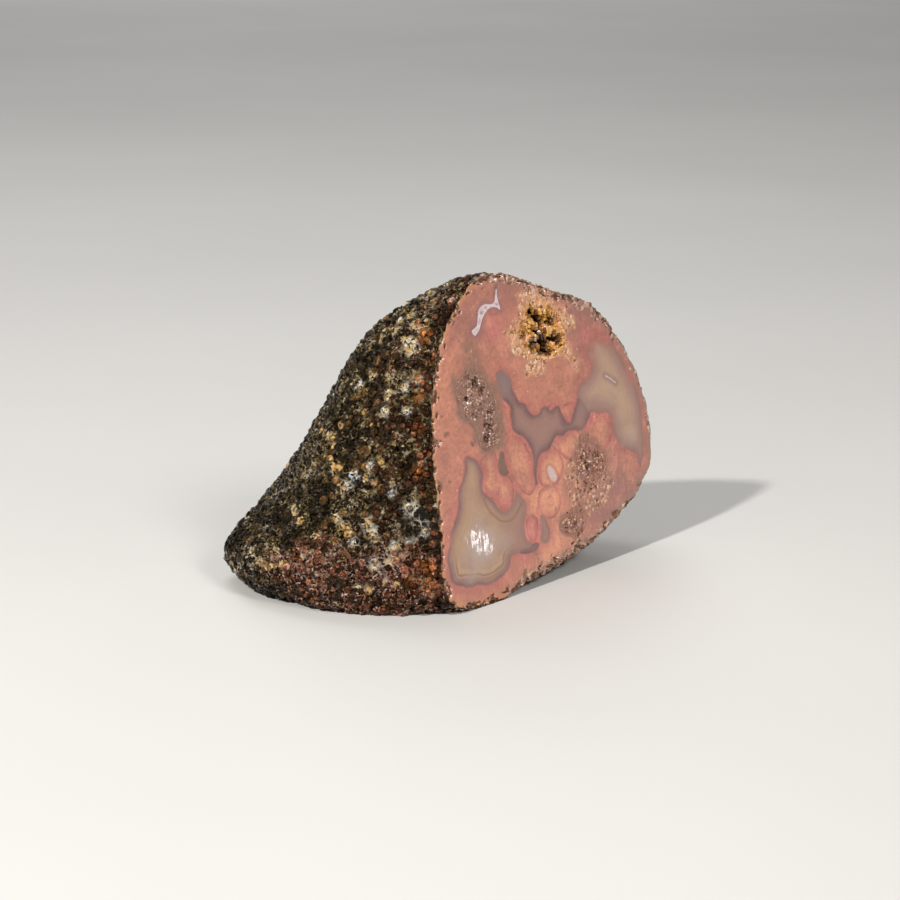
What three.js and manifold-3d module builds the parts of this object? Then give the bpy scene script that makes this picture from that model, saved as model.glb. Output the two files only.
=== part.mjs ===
// Half of an agate nodule: one natural stone with a beaded rind, sawn and polished flat on one side.
// The cut opens four small hollows, and each hollow is lined by its own crust of crystals.
//
// Millimetres, +Z up. The cut face looks towards -Y and leans back a little. Places on it are
// given as u (along the face, which is +X), v (up the face) and depth (into the stone, square
// to the face). u = v = 0 is the face's lower left corner.

import * as THREE from 'three';
import { mergeVertices } from 'three/addons/utils/BufferGeometryUtils.js';
import Module from 'manifold-3d';

const wasm = await Module();
wasm.setup();

// ---------------------------------------------------------------- driving dimensions

const FACE_LEAN = THREE.MathUtils.degToRad(8);  // the cut face leans back from upright
const UNDERSIDE = -2.0;                         // height of the worn patch the stone rests on

// The stone's outline, from the cut face back to the toe: sections parallel to the face.
const SECTIONS = [
  { depth: 0, outline: [
    [21, 58.0], [14, 55.3], [8.8, 49.8], [5.2, 42.5], [3.2, 35], [2.5, 27], [2.4, 18], [1.7, 8],
    [2.3, 2.4], [5, -0.6], [9.6, -1.8], [16, -1.9], [27, -0.2], [38, 1.9], [47.6, 4.4],
    [54.6, 8.0], [59.4, 11], [62.3, 15], [63.3, 20], [62.6, 27], [60.2, 34], [55.5, 41.5],
    [50.8, 47.2], [46.6, 49.8], [40.7, 51.6], [34.5, 54.4], [28.6, 56.5]] },
  { depth: 7, outline: [
    [21.4, 56.9], [15.5, 56], [9, 52], [4.5, 46.5], [1, 39], [-1.5, 31], [-3.2, 23], [-5, 15],
    [-5.6, 8.5], [-4.4, 2.5], [-1, -1], [10, -2.4], [24, -2.8], [36, -1.8], [46, 0.6], [54, 4.8],
    [60, 11], [62.3, 20], [61.8, 28], [59, 36], [53.5, 43], [46, 48.6], [38, 52.5], [29, 55.7]] },
  { depth: 14, outline: [
    [20, 54.4], [12, 52.6], [5, 46], [0, 38], [-4, 29], [-7.5, 20], [-10.2, 13], [-11, 8],
    [-9.6, 3], [-5.5, -0.8], [6, -2], [22, -2], [36, -1], [46, 2], [54, 7.6], [58.5, 15],
    [59.5, 24], [57.5, 32], [53, 39], [46, 45], [38, 49.5], [29, 52.8]] },
  { depth: 21, outline: [
    [18, 50.4], [12, 49.4], [7, 46.3], [2, 40], [-2.5, 32], [-7, 23.5], [-11, 16], [-13.3, 11],
    [-13.6, 7], [-11.6, 2.6], [-7, 0], [6, -1], [20, -1], [32, 1], [42, 5.5], [49, 11],
    [53, 18], [53, 26], [50, 33], [44.5, 40], [36, 45.5], [27, 49]] },
  { depth: 28, outline: [
    [16, 43.6], [10, 41.5], [4.8, 37], [0, 30.5], [-5, 23.5], [-9.5, 17.5], [-13, 13],
    [-14.8, 9.5], [-14.6, 6], [-12, 2.6], [-7, 0.8], [4, 0.2], [15, 1], [27, 4], [36, 9],
    [42, 16], [43.5, 23.5], [40.5, 31], [34, 37.5], [25, 42]] },
  { depth: 35, outline: [
    [10, 32], [5, 30], [1, 26.2], [-3.5, 21.5], [-8, 17.5], [-12, 13.8], [-14.2, 10.8],
    [-14.6, 7.5], [-12.6, 4.2], [-8, 2.2], [2, 1.8], [12, 3], [21, 6.8], [28, 12], [31, 18.5],
    [29.5, 25], [24, 30], [17, 32.5]] },
  { depth: 41, outline: [
    [0, 20.5], [-4.4, 17.8], [-8, 15.5], [-11.2, 12.8], [-12.6, 10], [-12.2, 6.8],
    [-10, 4.2], [-5, 3.2], [3, 4], [10, 7], [14.5, 11.5], [15, 16.5], [11, 20.5], [5, 21.8]] },
  { depth: 45, outline: [
    [-5, 14], [-8.6, 12.2], [-10.2, 10], [-9.8, 7], [-7.4, 5.2], [-3, 5], [1.5, 7.2], [3.2, 10.5],
    [1, 13.5]] },
];
const FACE_MIDDLE = [32, 27];
const TOE = { depth: 46.8, place: [-6.4, 9.6] };

// The rind swells in soft mounds and is covered by lumps. The points of its skin stand in a
// pattern of triangles, and every third point is the top of a lump.
const AROUND = 102;         // points round each section, a multiple of 3
const RING_STEP = 1.6;      // between the rings of points, along the depth
const MOUND = { pitch: 15, height: 0.8, level: 0.7 };
const LUMP = { width: 3.2, height: 1.0, sunk: 0.25 };

// Hollows that the saw opened, and the crystal crust in each.
const WALL_GAP = 0.3;       // between a crust and the stone round it
const FACE_GAP = 0.3;       // from the highest crystal to the plane of the cut
const BOWL_LEVELS = 4;      // rings down the wall of a hollow
const HOLLOWS = [
  { name: 'golden_druse', color: 0xcf9a4a, roughness: 0.3, depth: 6.2, crust: 1.0,
    centre: [34.4, 45.9],
    outline: [
      [34.2, 51.6], [31, 51], [28.6, 48.4], [27.6, 45.2], [29.6, 42], [32.6, 40.6], [36.4, 39.8],
      [39.6, 40.2], [41, 42.6], [40.4, 46.2], [38.4, 49.2]],
    crystals: { around: 24, rows: 7, height: [0.8, 4.2], seed: 11 } },
  { name: 'smoky_druse', color: 0x8d7468, roughness: 0.35, depth: 2.3, crust: 0.7,
    centre: [15.9, 34],
    outline: [
      [16.5, 40.6], [13, 40.8], [10.6, 38.6], [10.8, 35.4], [13, 32.2], [14.8, 29.6],
      [15.6, 26.8], [18.2, 26], [20.2, 28], [20.4, 32], [19.6, 36.4]],
    crystals: { around: 26, rows: 6, height: [0.4, 1.3], seed: 23 } },
  { name: 'rose_druse', color: 0xb98874, roughness: 0.35, depth: 2.1, crust: 0.7,
    centre: [44.6, 18.4],
    outline: [
      [43, 22.6], [40.6, 21], [40.8, 18], [42.4, 15.4], [44.6, 14.2], [47.6, 15.4],
      [49.2, 18.2], [47.4, 20.8]],
    crystals: { around: 20, rows: 5, height: [0.4, 1.2], seed: 37 } },
  { name: 'cream_druse', color: 0xcfb39b, roughness: 0.35, depth: 1.8, crust: 0.6,
    centre: [37.8, 7.9],
    outline: [
      [37.8, 9.9], [35.2, 9.6], [34.4, 7.8], [36, 6.2], [39, 5.8], [41.2, 7], [40.6, 9.2]],
    crystals: { around: 16, rows: 4, height: [0.3, 1.0], seed: 41 } },
];

// ---------------------------------------------------------------- helpers

function inFace(u, v, depth) {
  const sin = Math.sin(FACE_LEAN);
  const cos = Math.cos(FACE_LEAN);
  return new THREE.Vector3(u, v * sin + depth * cos, v * cos - depth * sin);
}

function randomSource(seed) {
  let state = seed;
  return () => {
    state = (state * 1664525 + 1013904223) >>> 0;
    return state / 4294967296;
  };
}

// A repeatable value from 0 to 1 for a whole-number place in space.
function cellValue(i, j, k, salt) {
  const mixed = Math.sin(i * 127.1 + j * 311.7 + k * 74.7 + salt * 53.3) * 43758.5453;
  return mixed - Math.floor(mixed);
}

// Rounded mounds packed side by side: 1 on top of a mound, 0 in the creases between them.
function mounds(point, pitch) {
  const cell = point.clone().divideScalar(pitch);
  const base = cell.clone().floor();
  let nearest = Infinity;
  for (let i = -1; i <= 1; i++) {
    for (let j = -1; j <= 1; j++) {
      for (let k = -1; k <= 1; k++) {
        const at = [base.x + i, base.y + j, base.z + k];
        const top = new THREE.Vector3(
          at[0] + cellValue(...at, 1), at[1] + cellValue(...at, 2), at[2] + cellValue(...at, 3));
        nearest = Math.min(nearest, top.distanceTo(cell));
      }
    }
  }
  return Math.sqrt(Math.max(0, 1 - nearest * nearest));
}

// Evenly spaced points [u, v] along a smooth closed outline, from its first corner on.
function pointsRound(outline, count) {
  const corners = outline.map(([u, v]) => new THREE.Vector3(u, v, 0));
  const curve = new THREE.CatmullRomCurve3(corners, true, 'centripetal');
  curve.arcLengthDivisions = outline.length * 24;
  return curve.getSpacedPoints(count).slice(0, count).map((point) => [point.x, point.y]);
}

// A value given at each section's depth, carried smoothly to the depths between them.
function between(depths, values, depth) {
  let i = 0;
  while (i < depths.length - 2 && depth > depths[i + 1]) i++;
  const slope = (n) => {
    const a = Math.max(0, n - 1);
    const b = Math.min(depths.length - 1, n + 1);
    return (values[b] - values[a]) / (depths[b] - depths[a]);
  };
  const span = depths[i + 1] - depths[i];
  const t = (depth - depths[i]) / span;
  const t2 = t * t;
  const t3 = t2 * t;
  return (2 * t3 - 3 * t2 + 1) * values[i] + (t3 - 2 * t2 + t) * span * slope(i)
    + (3 * t2 - 2 * t3) * values[i + 1] + (t3 - t2) * span * slope(i + 1);
}

// Triangles that join two rings of the same count, whose first points have these numbers.
function band(ringA, ringB, count) {
  const index = [];
  for (let k = 0; k < count; k++) {
    const next = (k + 1) % count;
    index.push(ringA + k, ringB + k, ringB + next, ringA + k, ringB + next, ringA + next);
  }
  return index;
}

// A fan from a middle point to a ring; flip turns it to face the other way.
function fan(middle, ring, count, flip) {
  const index = [];
  for (let k = 0; k < count; k++) {
    const next = (k + 1) % count;
    index.push(middle, ring + (flip ? next : k), ring + (flip ? k : next));
  }
  return index;
}

function meshOf(points, index) {
  const geometry = new THREE.BufferGeometry().setFromPoints(points);
  geometry.setIndex(index);
  return geometry;
}

// A closed skin over rings of points, from the front one to the back one, with a middle point
// at each end. Each ring runs counterclockwise as seen from the front.
function skin(rings, frontMiddle, backMiddle) {
  const count = rings[0].length;
  const points = [frontMiddle, ...rings.flat(), backMiddle];
  const index = fan(0, 1, count, false);
  for (let r = 0; r + 1 < rings.length; r++) {
    index.push(...band(1 + r * count, 1 + (r + 1) * count, count));
  }
  index.push(...fan(points.length - 1, 1 + (rings.length - 1) * count, count, true));
  return meshOf(points, index);
}

function solid(geometry) {
  const plain = new THREE.BufferGeometry();
  plain.setAttribute('position', geometry.getAttribute('position'));
  plain.setIndex(geometry.getIndex());
  const merged = mergeVertices(plain, 1e-4);
  return new wasm.Manifold(new wasm.Mesh({
    numProp: 3,
    vertProperties: new Float32Array(merged.getAttribute('position').array),
    triVerts: new Uint32Array(merged.getIndex().array),
  }));
}

function geometryOf(body) {
  const mesh = body.getMesh();
  const geometry = new THREE.BufferGeometry();
  geometry.setAttribute('position', new THREE.BufferAttribute(mesh.vertProperties, 3));
  geometry.setIndex(new THREE.BufferAttribute(mesh.triVerts, 1));
  geometry.computeVertexNormals();
  return geometry;
}

// ---------------------------------------------------------------- the stone

function stoneRings() {
  const depths = SECTIONS.map((section) => section.depth);
  const places = SECTIONS.map((section) => pointsRound(section.outline, 2 * AROUND));
  const deepest = depths[depths.length - 1];
  const steps = Math.round(deepest / RING_STEP);
  const rings = [];
  for (let r = 0; r <= steps; r++) {
    const depth = (r / steps) * deepest;
    const ring = [];
    for (let k = 0; k < AROUND; k++) {
      // Each ring is turned half a step on from the one before it.
      const turn = (2 * k - r + 2 * AROUND) % (2 * AROUND);
      const [u, v] = [0, 1].map((way) =>
        between(depths, places.map((row) => row[turn][way]), depth));
      ring.push(inFace(u, v, depth));
    }
    rings.push(ring);
  }
  return rings;
}

function lumpy(geometry) {
  geometry.computeVertexNormals();
  const position = geometry.getAttribute('position');
  const normal = geometry.getAttribute('normal');
  const faceNormal = inFace(0, 0, -1);
  const random = randomSource(5);
  const raised = [];
  for (let i = 0; i < position.count; i++) {
    raised.push(new THREE.Vector3().fromBufferAttribute(position, i));
  }
  for (let i = 1; i < position.count - 1; i++) {
    const ring = Math.floor((i - 1) / AROUND);
    const k = (i - 1) % AROUND;
    const point = new THREE.Vector3().fromBufferAttribute(position, i);
    const beside = new THREE.Vector3().fromBufferAttribute(position, k === 0 ? i + 1 : i - 1);
    const room = Math.min(1, (point.distanceTo(beside) * 2) / LUMP.width);
    const lump = (k + ring) % 3 === 0 ? LUMP.height * room * (0.6 + 0.4 * random()) : 0;
    const mound = MOUND.height * (mounds(point, MOUND.pitch) - MOUND.level);
    const out = new THREE.Vector3().fromBufferAttribute(normal, i);
    if (ring === 0) out.projectOnPlane(faceNormal).normalize();  // the saw's edge stays in its plane
    raised[i].addScaledVector(out, mound + (ring === 0 ? lump / 2 : lump) - LUMP.sunk);
  }
  return geometry.setFromPoints(raised);
}

function stone() {
  const faceMiddle = inFace(...FACE_MIDDLE, 0);
  const toe = inFace(...TOE.place, TOE.depth);
  const whole = solid(lumpy(skin(stoneRings(), faceMiddle, toe)));
  const ground = new THREE.BoxGeometry(200, 200, 20).translate(0, 0, UNDERSIDE - 10);
  return whole.subtract(solid(ground));
}

// ---------------------------------------------------------------- hollows and their crusts

// Places in a hollow: turn counts steps round its outline, scale runs from 0 at its centre to 1
// at its wall, and inset is the distance kept from the wall.
function hollowPlaces(hollow, inset) {
  const { around } = hollow.crystals;
  const [cu, cv] = hollow.centre;
  const wall = pointsRound(hollow.outline, around).map(([u, v]) => {
    const away = new THREE.Vector2(u - cu, v - cv);
    return away.setLength(away.length() - inset);
  });
  return (turn, scale, depth) => {
    const step = (turn + around) % around;
    const low = Math.floor(step);
    const away = wall[low].clone().lerp(wall[(low + 1) % around], step - low).multiplyScalar(scale);
    return inFace(cu + away.x, cv + away.y, depth);
  };
}

// The space of a hollow: a bowl under its outline on the cut face, open towards the front.
function bowl(hollow) {
  const place = hollowPlaces(hollow, 0);
  const ring = (scale, depth) =>
    Array.from({ length: hollow.crystals.around }, (_, k) => place(k, scale, depth));
  const rings = [ring(1, -1), ring(1, 0)];
  for (let level = 1; level < BOWL_LEVELS; level++) {
    const angle = (level / BOWL_LEVELS) * Math.PI / 2;
    rings.push(ring(Math.cos(angle), hollow.depth * Math.sin(angle)));
  }
  return solid(skin(rings, place(0, 0, -1), place(0, 0, hollow.depth)));
}

// The crust that lines a hollow: a carpet of pointed crystals, each with four flat faces, which
// rise from the lining towards the mouth. None of them passes the plane of the cut.
function crust(hollow) {
  const { around, rows, height, seed } = hollow.crystals;
  const random = randomSource(seed);
  const place = hollowPlaces(hollow, WALL_GAP);
  const floor = hollow.depth - WALL_GAP;
  const lining = (scale) => FACE_GAP
    + (floor - hollow.crust - FACE_GAP) * Math.sqrt(Math.max(0, 1 - (scale / 0.95) ** 2));

  // Where crystals meet: rings of points from the rim to the middle, a little out of true.
  const points = [];
  const index = [];
  const scaleOf = (row) => 1 - row / (rows + 0.7);
  for (let row = 0; row < rows; row++) {
    for (let k = 0; k < around; k++) {
      const loose = row === 0 ? 0 : 0.5;
      const scale = scaleOf(row + loose * (random() - 0.5));
      const turn = k + 0.5 * (row % 2) + loose * (random() - 0.5);
      points.push(place(turn, scale, lining(scale)));
    }
  }
  const middle = points.push(place(0, 0, lining(0))) - 1;
  index.push(...fan(middle, (rows - 1) * around, around, false));

  // Between four such points stands one crystal, drawn out to a tip.
  for (let row = 0; row + 1 < rows; row++) {
    for (let k = 0; k < around; k++) {
      const next = (k + 1) % around;
      const corners = [row * around + k, row * around + next,
        (row + 1) * around + next, (row + 1) * around + k];
      const scale = scaleOf(row + 0.5);
      const rise = height[0] + (height[1] - height[0]) * random() ** 2;
      const depth = Math.max(FACE_GAP, lining(scale) - rise);
      const tip = points.push(place(k + 0.6 + 0.3 * random(), scale, depth)) - 1;
      corners.forEach((corner, side) => index.push(tip, corner, corners[(side + 1) % 4]));
    }
  }

  // The back of the crust follows the wall of the hollow.
  let ring = 0;
  for (let level = 1; level < BOWL_LEVELS; level++) {
    const angle = (level / BOWL_LEVELS) * Math.PI / 2;
    const start = points.length;
    const depth = FACE_GAP + (floor - FACE_GAP) * Math.sin(angle);
    for (let k = 0; k < around; k++) points.push(place(k, Math.cos(angle), depth));
    index.push(...band(ring, start, around));
    ring = start;
  }
  const bottom = points.push(place(0, 0, floor)) - 1;
  index.push(...fan(bottom, ring, around, true));
  return solid(meshOf(points, index));
}

// ---------------------------------------------------------------- the object

const nodule = new THREE.Group();

function add(name, body, color, roughness) {
  const material = new THREE.MeshStandardMaterial({ color, roughness, metalness: 0 });
  const mesh = new THREE.Mesh(geometryOf(body), material);
  mesh.name = name;
  nodule.add(mesh);
}

let carved = stone();
for (const hollow of HOLLOWS) {
  carved = carved.subtract(bowl(hollow));
}
add('agate_nodule', carved, 0xb9786a, 0.35);
for (const hollow of HOLLOWS) {
  add(hollow.name, crust(hollow), hollow.color, hollow.roughness);
}

// The object stands on its worn underside, with the middle of its box over the origin.
const extent = new THREE.Box3().setFromObject(nodule);
const middle = extent.getCenter(new THREE.Vector3());
nodule.position.set(-middle.x, -middle.y, -extent.min.z);
nodule.updateMatrixWorld(true);

export default nodule;
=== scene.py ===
import math

import bpy
import numpy as np
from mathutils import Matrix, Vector
from mathutils.geometry import delaunay_2d_cdt


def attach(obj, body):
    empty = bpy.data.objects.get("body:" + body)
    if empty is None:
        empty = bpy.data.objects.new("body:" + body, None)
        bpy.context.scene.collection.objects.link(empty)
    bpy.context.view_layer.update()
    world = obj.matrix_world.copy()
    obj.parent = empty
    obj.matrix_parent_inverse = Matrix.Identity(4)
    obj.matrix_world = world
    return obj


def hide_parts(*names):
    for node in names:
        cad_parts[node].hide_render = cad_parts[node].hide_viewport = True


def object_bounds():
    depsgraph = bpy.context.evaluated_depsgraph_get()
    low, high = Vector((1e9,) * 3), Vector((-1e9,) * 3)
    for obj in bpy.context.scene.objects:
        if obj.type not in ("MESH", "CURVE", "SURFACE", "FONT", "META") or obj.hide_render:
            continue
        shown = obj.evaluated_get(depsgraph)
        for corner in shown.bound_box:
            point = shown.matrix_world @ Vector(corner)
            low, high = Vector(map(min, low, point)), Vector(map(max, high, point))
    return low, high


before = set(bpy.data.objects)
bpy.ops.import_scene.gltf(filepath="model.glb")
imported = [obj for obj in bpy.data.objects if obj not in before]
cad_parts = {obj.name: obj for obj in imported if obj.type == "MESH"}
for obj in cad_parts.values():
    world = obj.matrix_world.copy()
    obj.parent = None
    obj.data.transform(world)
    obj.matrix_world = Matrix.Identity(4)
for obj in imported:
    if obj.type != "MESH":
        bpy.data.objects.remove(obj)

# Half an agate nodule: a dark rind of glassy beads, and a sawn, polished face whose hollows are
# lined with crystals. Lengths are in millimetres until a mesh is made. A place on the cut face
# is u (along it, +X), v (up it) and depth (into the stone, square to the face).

cad_low, cad_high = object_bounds()

MM = 0.001
FACE_LEAN = math.radians(8)
FACE_CORNER = np.array([-23.982, -23.700, 2.000])   # u = v = 0 on the cut face

# ---------------- the stone's form

# Sections parallel to the face, from the cut back to the toe: depth and closed outline [u, v].
SECTIONS = [
    (0, [
        (21, 58.0), (14, 55.3), (8.8, 49.8), (5.2, 42.5), (3.2, 35), (2.5, 27), (2.4, 18), (1.7, 8),
        (2.3, 2.4), (5, -0.6), (9.6, -1.8), (16, -1.9), (27, -0.2), (38, 1.9), (47.6, 4.4),
        (54.6, 8.0), (59.4, 11), (62.3, 15), (63.3, 20), (62.6, 27), (60.2, 34), (55.5, 41.5),
        (50.8, 47.2), (46.6, 49.8), (40.7, 51.6), (34.5, 54.4), (28.6, 56.5)]),
    (7, [
        (21.4, 56.9), (15.5, 56), (9, 52), (4.5, 46.5), (1, 39), (-1.5, 31), (-3.2, 23), (-5, 15),
        (-5.6, 8.5), (-4.4, 2.5), (-1, -1), (10, -2.4), (24, -2.8), (36, -1.8), (46, 0.6), (54, 4.8),
        (60, 11), (62.3, 20), (61.8, 28), (59, 36), (53.5, 43), (46, 48.6), (38, 52.5), (29, 55.7)]),
    (14, [
        (20, 54.4), (12, 52.6), (5, 46), (0, 38), (-4, 29), (-7.5, 20), (-10.2, 13), (-11, 8),
        (-9.6, 3), (-5.5, -0.8), (6, -2), (22, -2), (36, -1), (46, 2), (54, 7.6), (58.5, 15),
        (59.5, 24), (57.5, 32), (53, 39), (46, 45), (38, 49.5), (29, 52.8)]),
    (21, [
        (18, 50.4), (12, 49.4), (7, 46.3), (2, 40), (-2.5, 32), (-7, 23.5), (-11, 16), (-13.3, 11),
        (-13.6, 7), (-11.6, 2.6), (-7, 0), (6, -1), (20, -1), (32, 1), (42, 5.5), (49, 11),
        (53, 18), (53, 26), (50, 33), (44.5, 40), (36, 45.5), (27, 49)]),
    (28, [
        (16, 43.6), (10, 41.5), (4.8, 37), (0, 30.5), (-5, 23.5), (-9.5, 17.5), (-13, 13),
        (-14.8, 9.5), (-14.6, 6), (-12, 2.6), (-7, 0.8), (4, 0.2), (15, 1), (27, 4), (36, 9),
        (42, 16), (43.5, 23.5), (40.5, 31), (34, 37.5), (25, 42)]),
    (35, [
        (10, 32), (5, 30), (1, 26.2), (-3.5, 21.5), (-8, 17.5), (-12, 13.8), (-14.2, 10.8),
        (-14.6, 7.5), (-12.6, 4.2), (-8, 2.2), (2, 1.8), (12, 3), (21, 6.8), (28, 12), (31, 18.5),
        (29.5, 25), (24, 30), (17, 32.5)]),
    (41, [
        (0, 20.5), (-4.4, 17.8), (-8, 15.5), (-11.2, 12.8), (-12.6, 10), (-12.2, 6.8),
        (-10, 4.2), (-5, 3.2), (3, 4), (10, 7), (14.5, 11.5), (15, 16.5), (11, 20.5), (5, 21.8)]),
    (45, [
        (-5, 14), (-8.6, 12.2), (-10.2, 10), (-9.8, 7), (-7.4, 5.2), (-3, 5), (1.5, 7.2), (3.2, 10.5),
        (1, 13.5)]),
]
TOE_DEPTH = 46.8
TOE_PLACE = (-6.4, 9.6)
TOE_RINGS = 6
SKIN_AROUND = 360           # points round each ring of the skin
SKIN_STEP = 0.9             # between rings, along the depth
MOUND_PITCH = 15.0
MOUND_HEIGHT = 0.8
MOUND_LEVEL = 0.7           # the height on a mound where the skin isn't moved
WEB_SUNK = 0.55             # the skin between the beads lies this far under their middles
RIM_WAVE = 0.40             # the edge of the cut wanders by this much

# ---------------- the face's marks

# Hollows: outline, centre, and how far the stone is open behind it.
HOLLOWS = {
    "golden_druse": dict(depth=6.2, centre=(34.4, 45.9), outline=[
        (34.2, 51.6), (31, 51), (28.6, 48.4), (27.6, 45.2), (29.6, 42), (32.6, 40.6), (36.4, 39.8),
        (39.6, 40.2), (41, 42.6), (40.4, 46.2), (38.4, 49.2)]),
    "smoky_druse": dict(depth=2.3, centre=(15.9, 34), outline=[
        (16.5, 40.6), (13, 40.8), (10.6, 38.6), (10.8, 35.4), (13, 32.2), (14.8, 29.6),
        (15.6, 26.8), (18.2, 26), (20.2, 28), (20.4, 32), (19.6, 36.4)]),
    "rose_druse": dict(depth=2.1, centre=(44.6, 18.4), outline=[
        (43, 22.6), (40.6, 21), (40.8, 18), (42.4, 15.4), (44.6, 14.2), (47.6, 15.4),
        (49.2, 18.2), (47.4, 20.8)]),
    "cream_druse": dict(depth=1.8, centre=(37.8, 7.9), outline=[
        (37.8, 9.9), (35.2, 9.6), (34.4, 7.8), (36, 6.2), (39, 5.8), (41.2, 7), (40.6, 9.2)]),
}
MOUTH_AROUND = 72           # points round the mouth of a hollow
WELL_LEVELS = [(0.985, 0.4), (0.93, 0.75), (0.7, 0.95)]   # down its wall: width and depth, as shares

# Pools of clear grey chalcedony. Each has its own run of bands, from its edge inwards.
POOL_LOW = [
    (11.2, 25.8), (14, 24.8), (14.8, 23), (14.8, 20.5), (15, 18.5), (17.2, 16.5), (18, 15.2),
    (20.2, 14.2), (22.2, 15.2), (23.5, 17), (24.8, 15.8), (25.6, 14.5), (25.4, 12.4), (24.6, 10.8),
    (24.8, 8), (26.4, 6.2), (24, 5.5), (20.5, 5.5), (19.8, 3.8), (17.5, 2.5), (15, 1.8),
    (11.5, 2), (8, 2.8), (5, 4), (4.2, 7), (4.2, 10), (5.2, 12.5), (7, 15.5), (8, 18),
    (8.8, 20.5), (10.2, 22.8)]
POOL_MIDDLE = [
    (21.2, 39.4), (22.6, 39.6), (24.2, 39), (24.6, 37.4), (25, 35.6), (26.8, 33.4), (28, 32.6),
    (29.2, 31), (30.4, 30.2), (31.6, 30.2), (32.4, 31), (33.6, 31.2), (34.4, 30.4), (36.2, 30.6),
    (37.2, 30.4), (37.8, 28.6), (38.8, 27.4), (40, 27.2), (41.2, 28.4), (42, 30), (42.8, 31.4),
    (44.6, 30.6), (45.6, 29), (45.6, 27.4), (44.2, 25.6), (42.8, 24.8), (41, 25.4), (39, 25.6),
    (37.4, 25.2), (35.6, 25), (34.6, 23.8), (33, 23), (31.2, 22.8), (29.9, 21.4), (29.3, 19.2),
    (29, 17.4), (28.5, 17.4), (28.7, 20), (28.8, 22), (28.6, 24.2), (27.4, 26), (25.4, 27.4),
    (24.2, 29), (24.1, 31.4), (23.8, 33.2), (22.4, 34.6), (21.3, 36.4)]
POOL_RIGHT = [
    (46.5, 40), (47.6, 42), (50, 42.6), (52.8, 41.0), (55.0, 38.6), (57.4, 35), (59.4, 31.6),
    (60.4, 28), (60.7, 24.5), (60.8, 20), (59.8, 15.6), (59, 14.4), (58.4, 15.4), (58.5, 17),
    (56, 18.5), (53.5, 19.2), (53, 21), (51.8, 23.8), (50.8, 26.5), (49, 27.2), (46.2, 27.9),
    (44.9, 27.6), (43.4, 29.6), (42.6, 31.6), (43.4, 33.4), (45.8, 34.9), (47.2, 37), (46, 38.5)]
POOL_SMALL = [
    (28.9, 11.4), (30.2, 11.2), (31.2, 9.6), (31.6, 7.8), (31.2, 6.2), (29.8, 5.6),
    (28.8, 6.6), (29.4, 8.4), (29.3, 10)]
POOL_WEDGE = [
    (20.2, 25), (21.1, 24.8), (21.3, 22.8), (21.8, 21), (21, 20.4), (20, 20.9), (19.1, 22.4),
    (19.4, 23.8)]
POOL_SLOT = [
    (22.8, 6.3), (25, 6.3), (27.4, 6.4), (28.4, 5.8), (27, 4.9), (24.6, 4.9), (23, 5.4)]
POOLS = [
    ("low", POOL_LOW), ("middle", POOL_MIDDLE), ("right", POOL_RIGHT), ("low", POOL_SMALL),
    ("wedge", POOL_WEDGE), ("middle", POOL_SLOT)]

# Rounded tubes and drops of pink jasper, each with a rosy skin.
TUBES = [
    [(15.2, 24.6), (14.9, 22), (14.6, 19.6), (15.4, 17.8), (17, 16.9), (18.4, 17.4), (19.2, 19.2),
     (19.6, 21.4), (19.2, 23.4), (18.6, 25.2), (16.8, 25.6)],
    [(18.4, 19.8), (17.9, 17.6), (18.4, 15.6), (19.8, 14.5), (21.4, 14.9), (22.6, 16.4),
     (22.5, 18.6), (21.4, 20.2), (20, 20.8)],
    [(21.2, 23.8), (21.8, 21), (24, 18), (26, 16.2), (27.6, 15.8), (28.8, 17.5), (28.6, 20.5),
     (27.9, 23.8), (25.6, 26.6), (23.5, 27.6), (21.6, 26.4)],
    [(32.2, 16.7), (29.9, 15.7), (29, 13.5), (29.9, 11.2), (32.2, 10.3), (34.5, 11.2),
     (35.4, 13.5), (34.5, 15.7)],
    [(33, 23.4), (30.9, 22.4), (29.8, 20.2), (30, 17.8), (31.6, 16.4), (34, 16), (36, 17.2),
     (36.8, 19.6), (36, 22), (34.8, 23.2)],
    [(26.8, 11.9), (25.6, 11), (25.2, 9.2), (25.7, 7.4), (26.9, 6.7), (28.1, 7.6), (28.4, 9.4),
     (27.9, 11.2)],
    [(34, 30.6), (34.3, 29.4), (35.2, 28.9), (36.1, 29.3), (36.4, 30.4), (35.8, 31.4), (34.6, 31.5)],
    [(38.6, 30.2), (38.2, 28.6), (38.6, 27.2), (39.4, 26.8), (40.4, 27.3), (41, 28.8), (41.6, 30.4)],
    [(36.2, 24.8), (36.4, 21.8), (38.6, 20.2), (41.2, 21), (42.4, 23.2), (41.4, 25.4), (39, 25.8)],
    [(21.3, 33.6), (20.6, 31), (21.2, 28.8), (22.8, 28), (24, 29.2), (24.1, 31.4), (23.3, 33.2)],
    [(46.4, 27.6), (45.2, 25.2), (45.6, 22), (48, 20.4), (50.6, 21), (51.6, 23.4), (50.6, 26.2),
     (48.8, 27.2)],
]
RING_SPOTS = [((25.8, 23.5), 0.9), ((25.8, 19.2), 0.8), ((32.2, 13.5), 0.9), ((5.4, 16.6), 0.9),
              ((54.8, 15.2), 1.2), ((21, 43.5), 1.1), ((20.3, 17), 0.5), ((17.4, 19.9), 0.45)]

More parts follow.
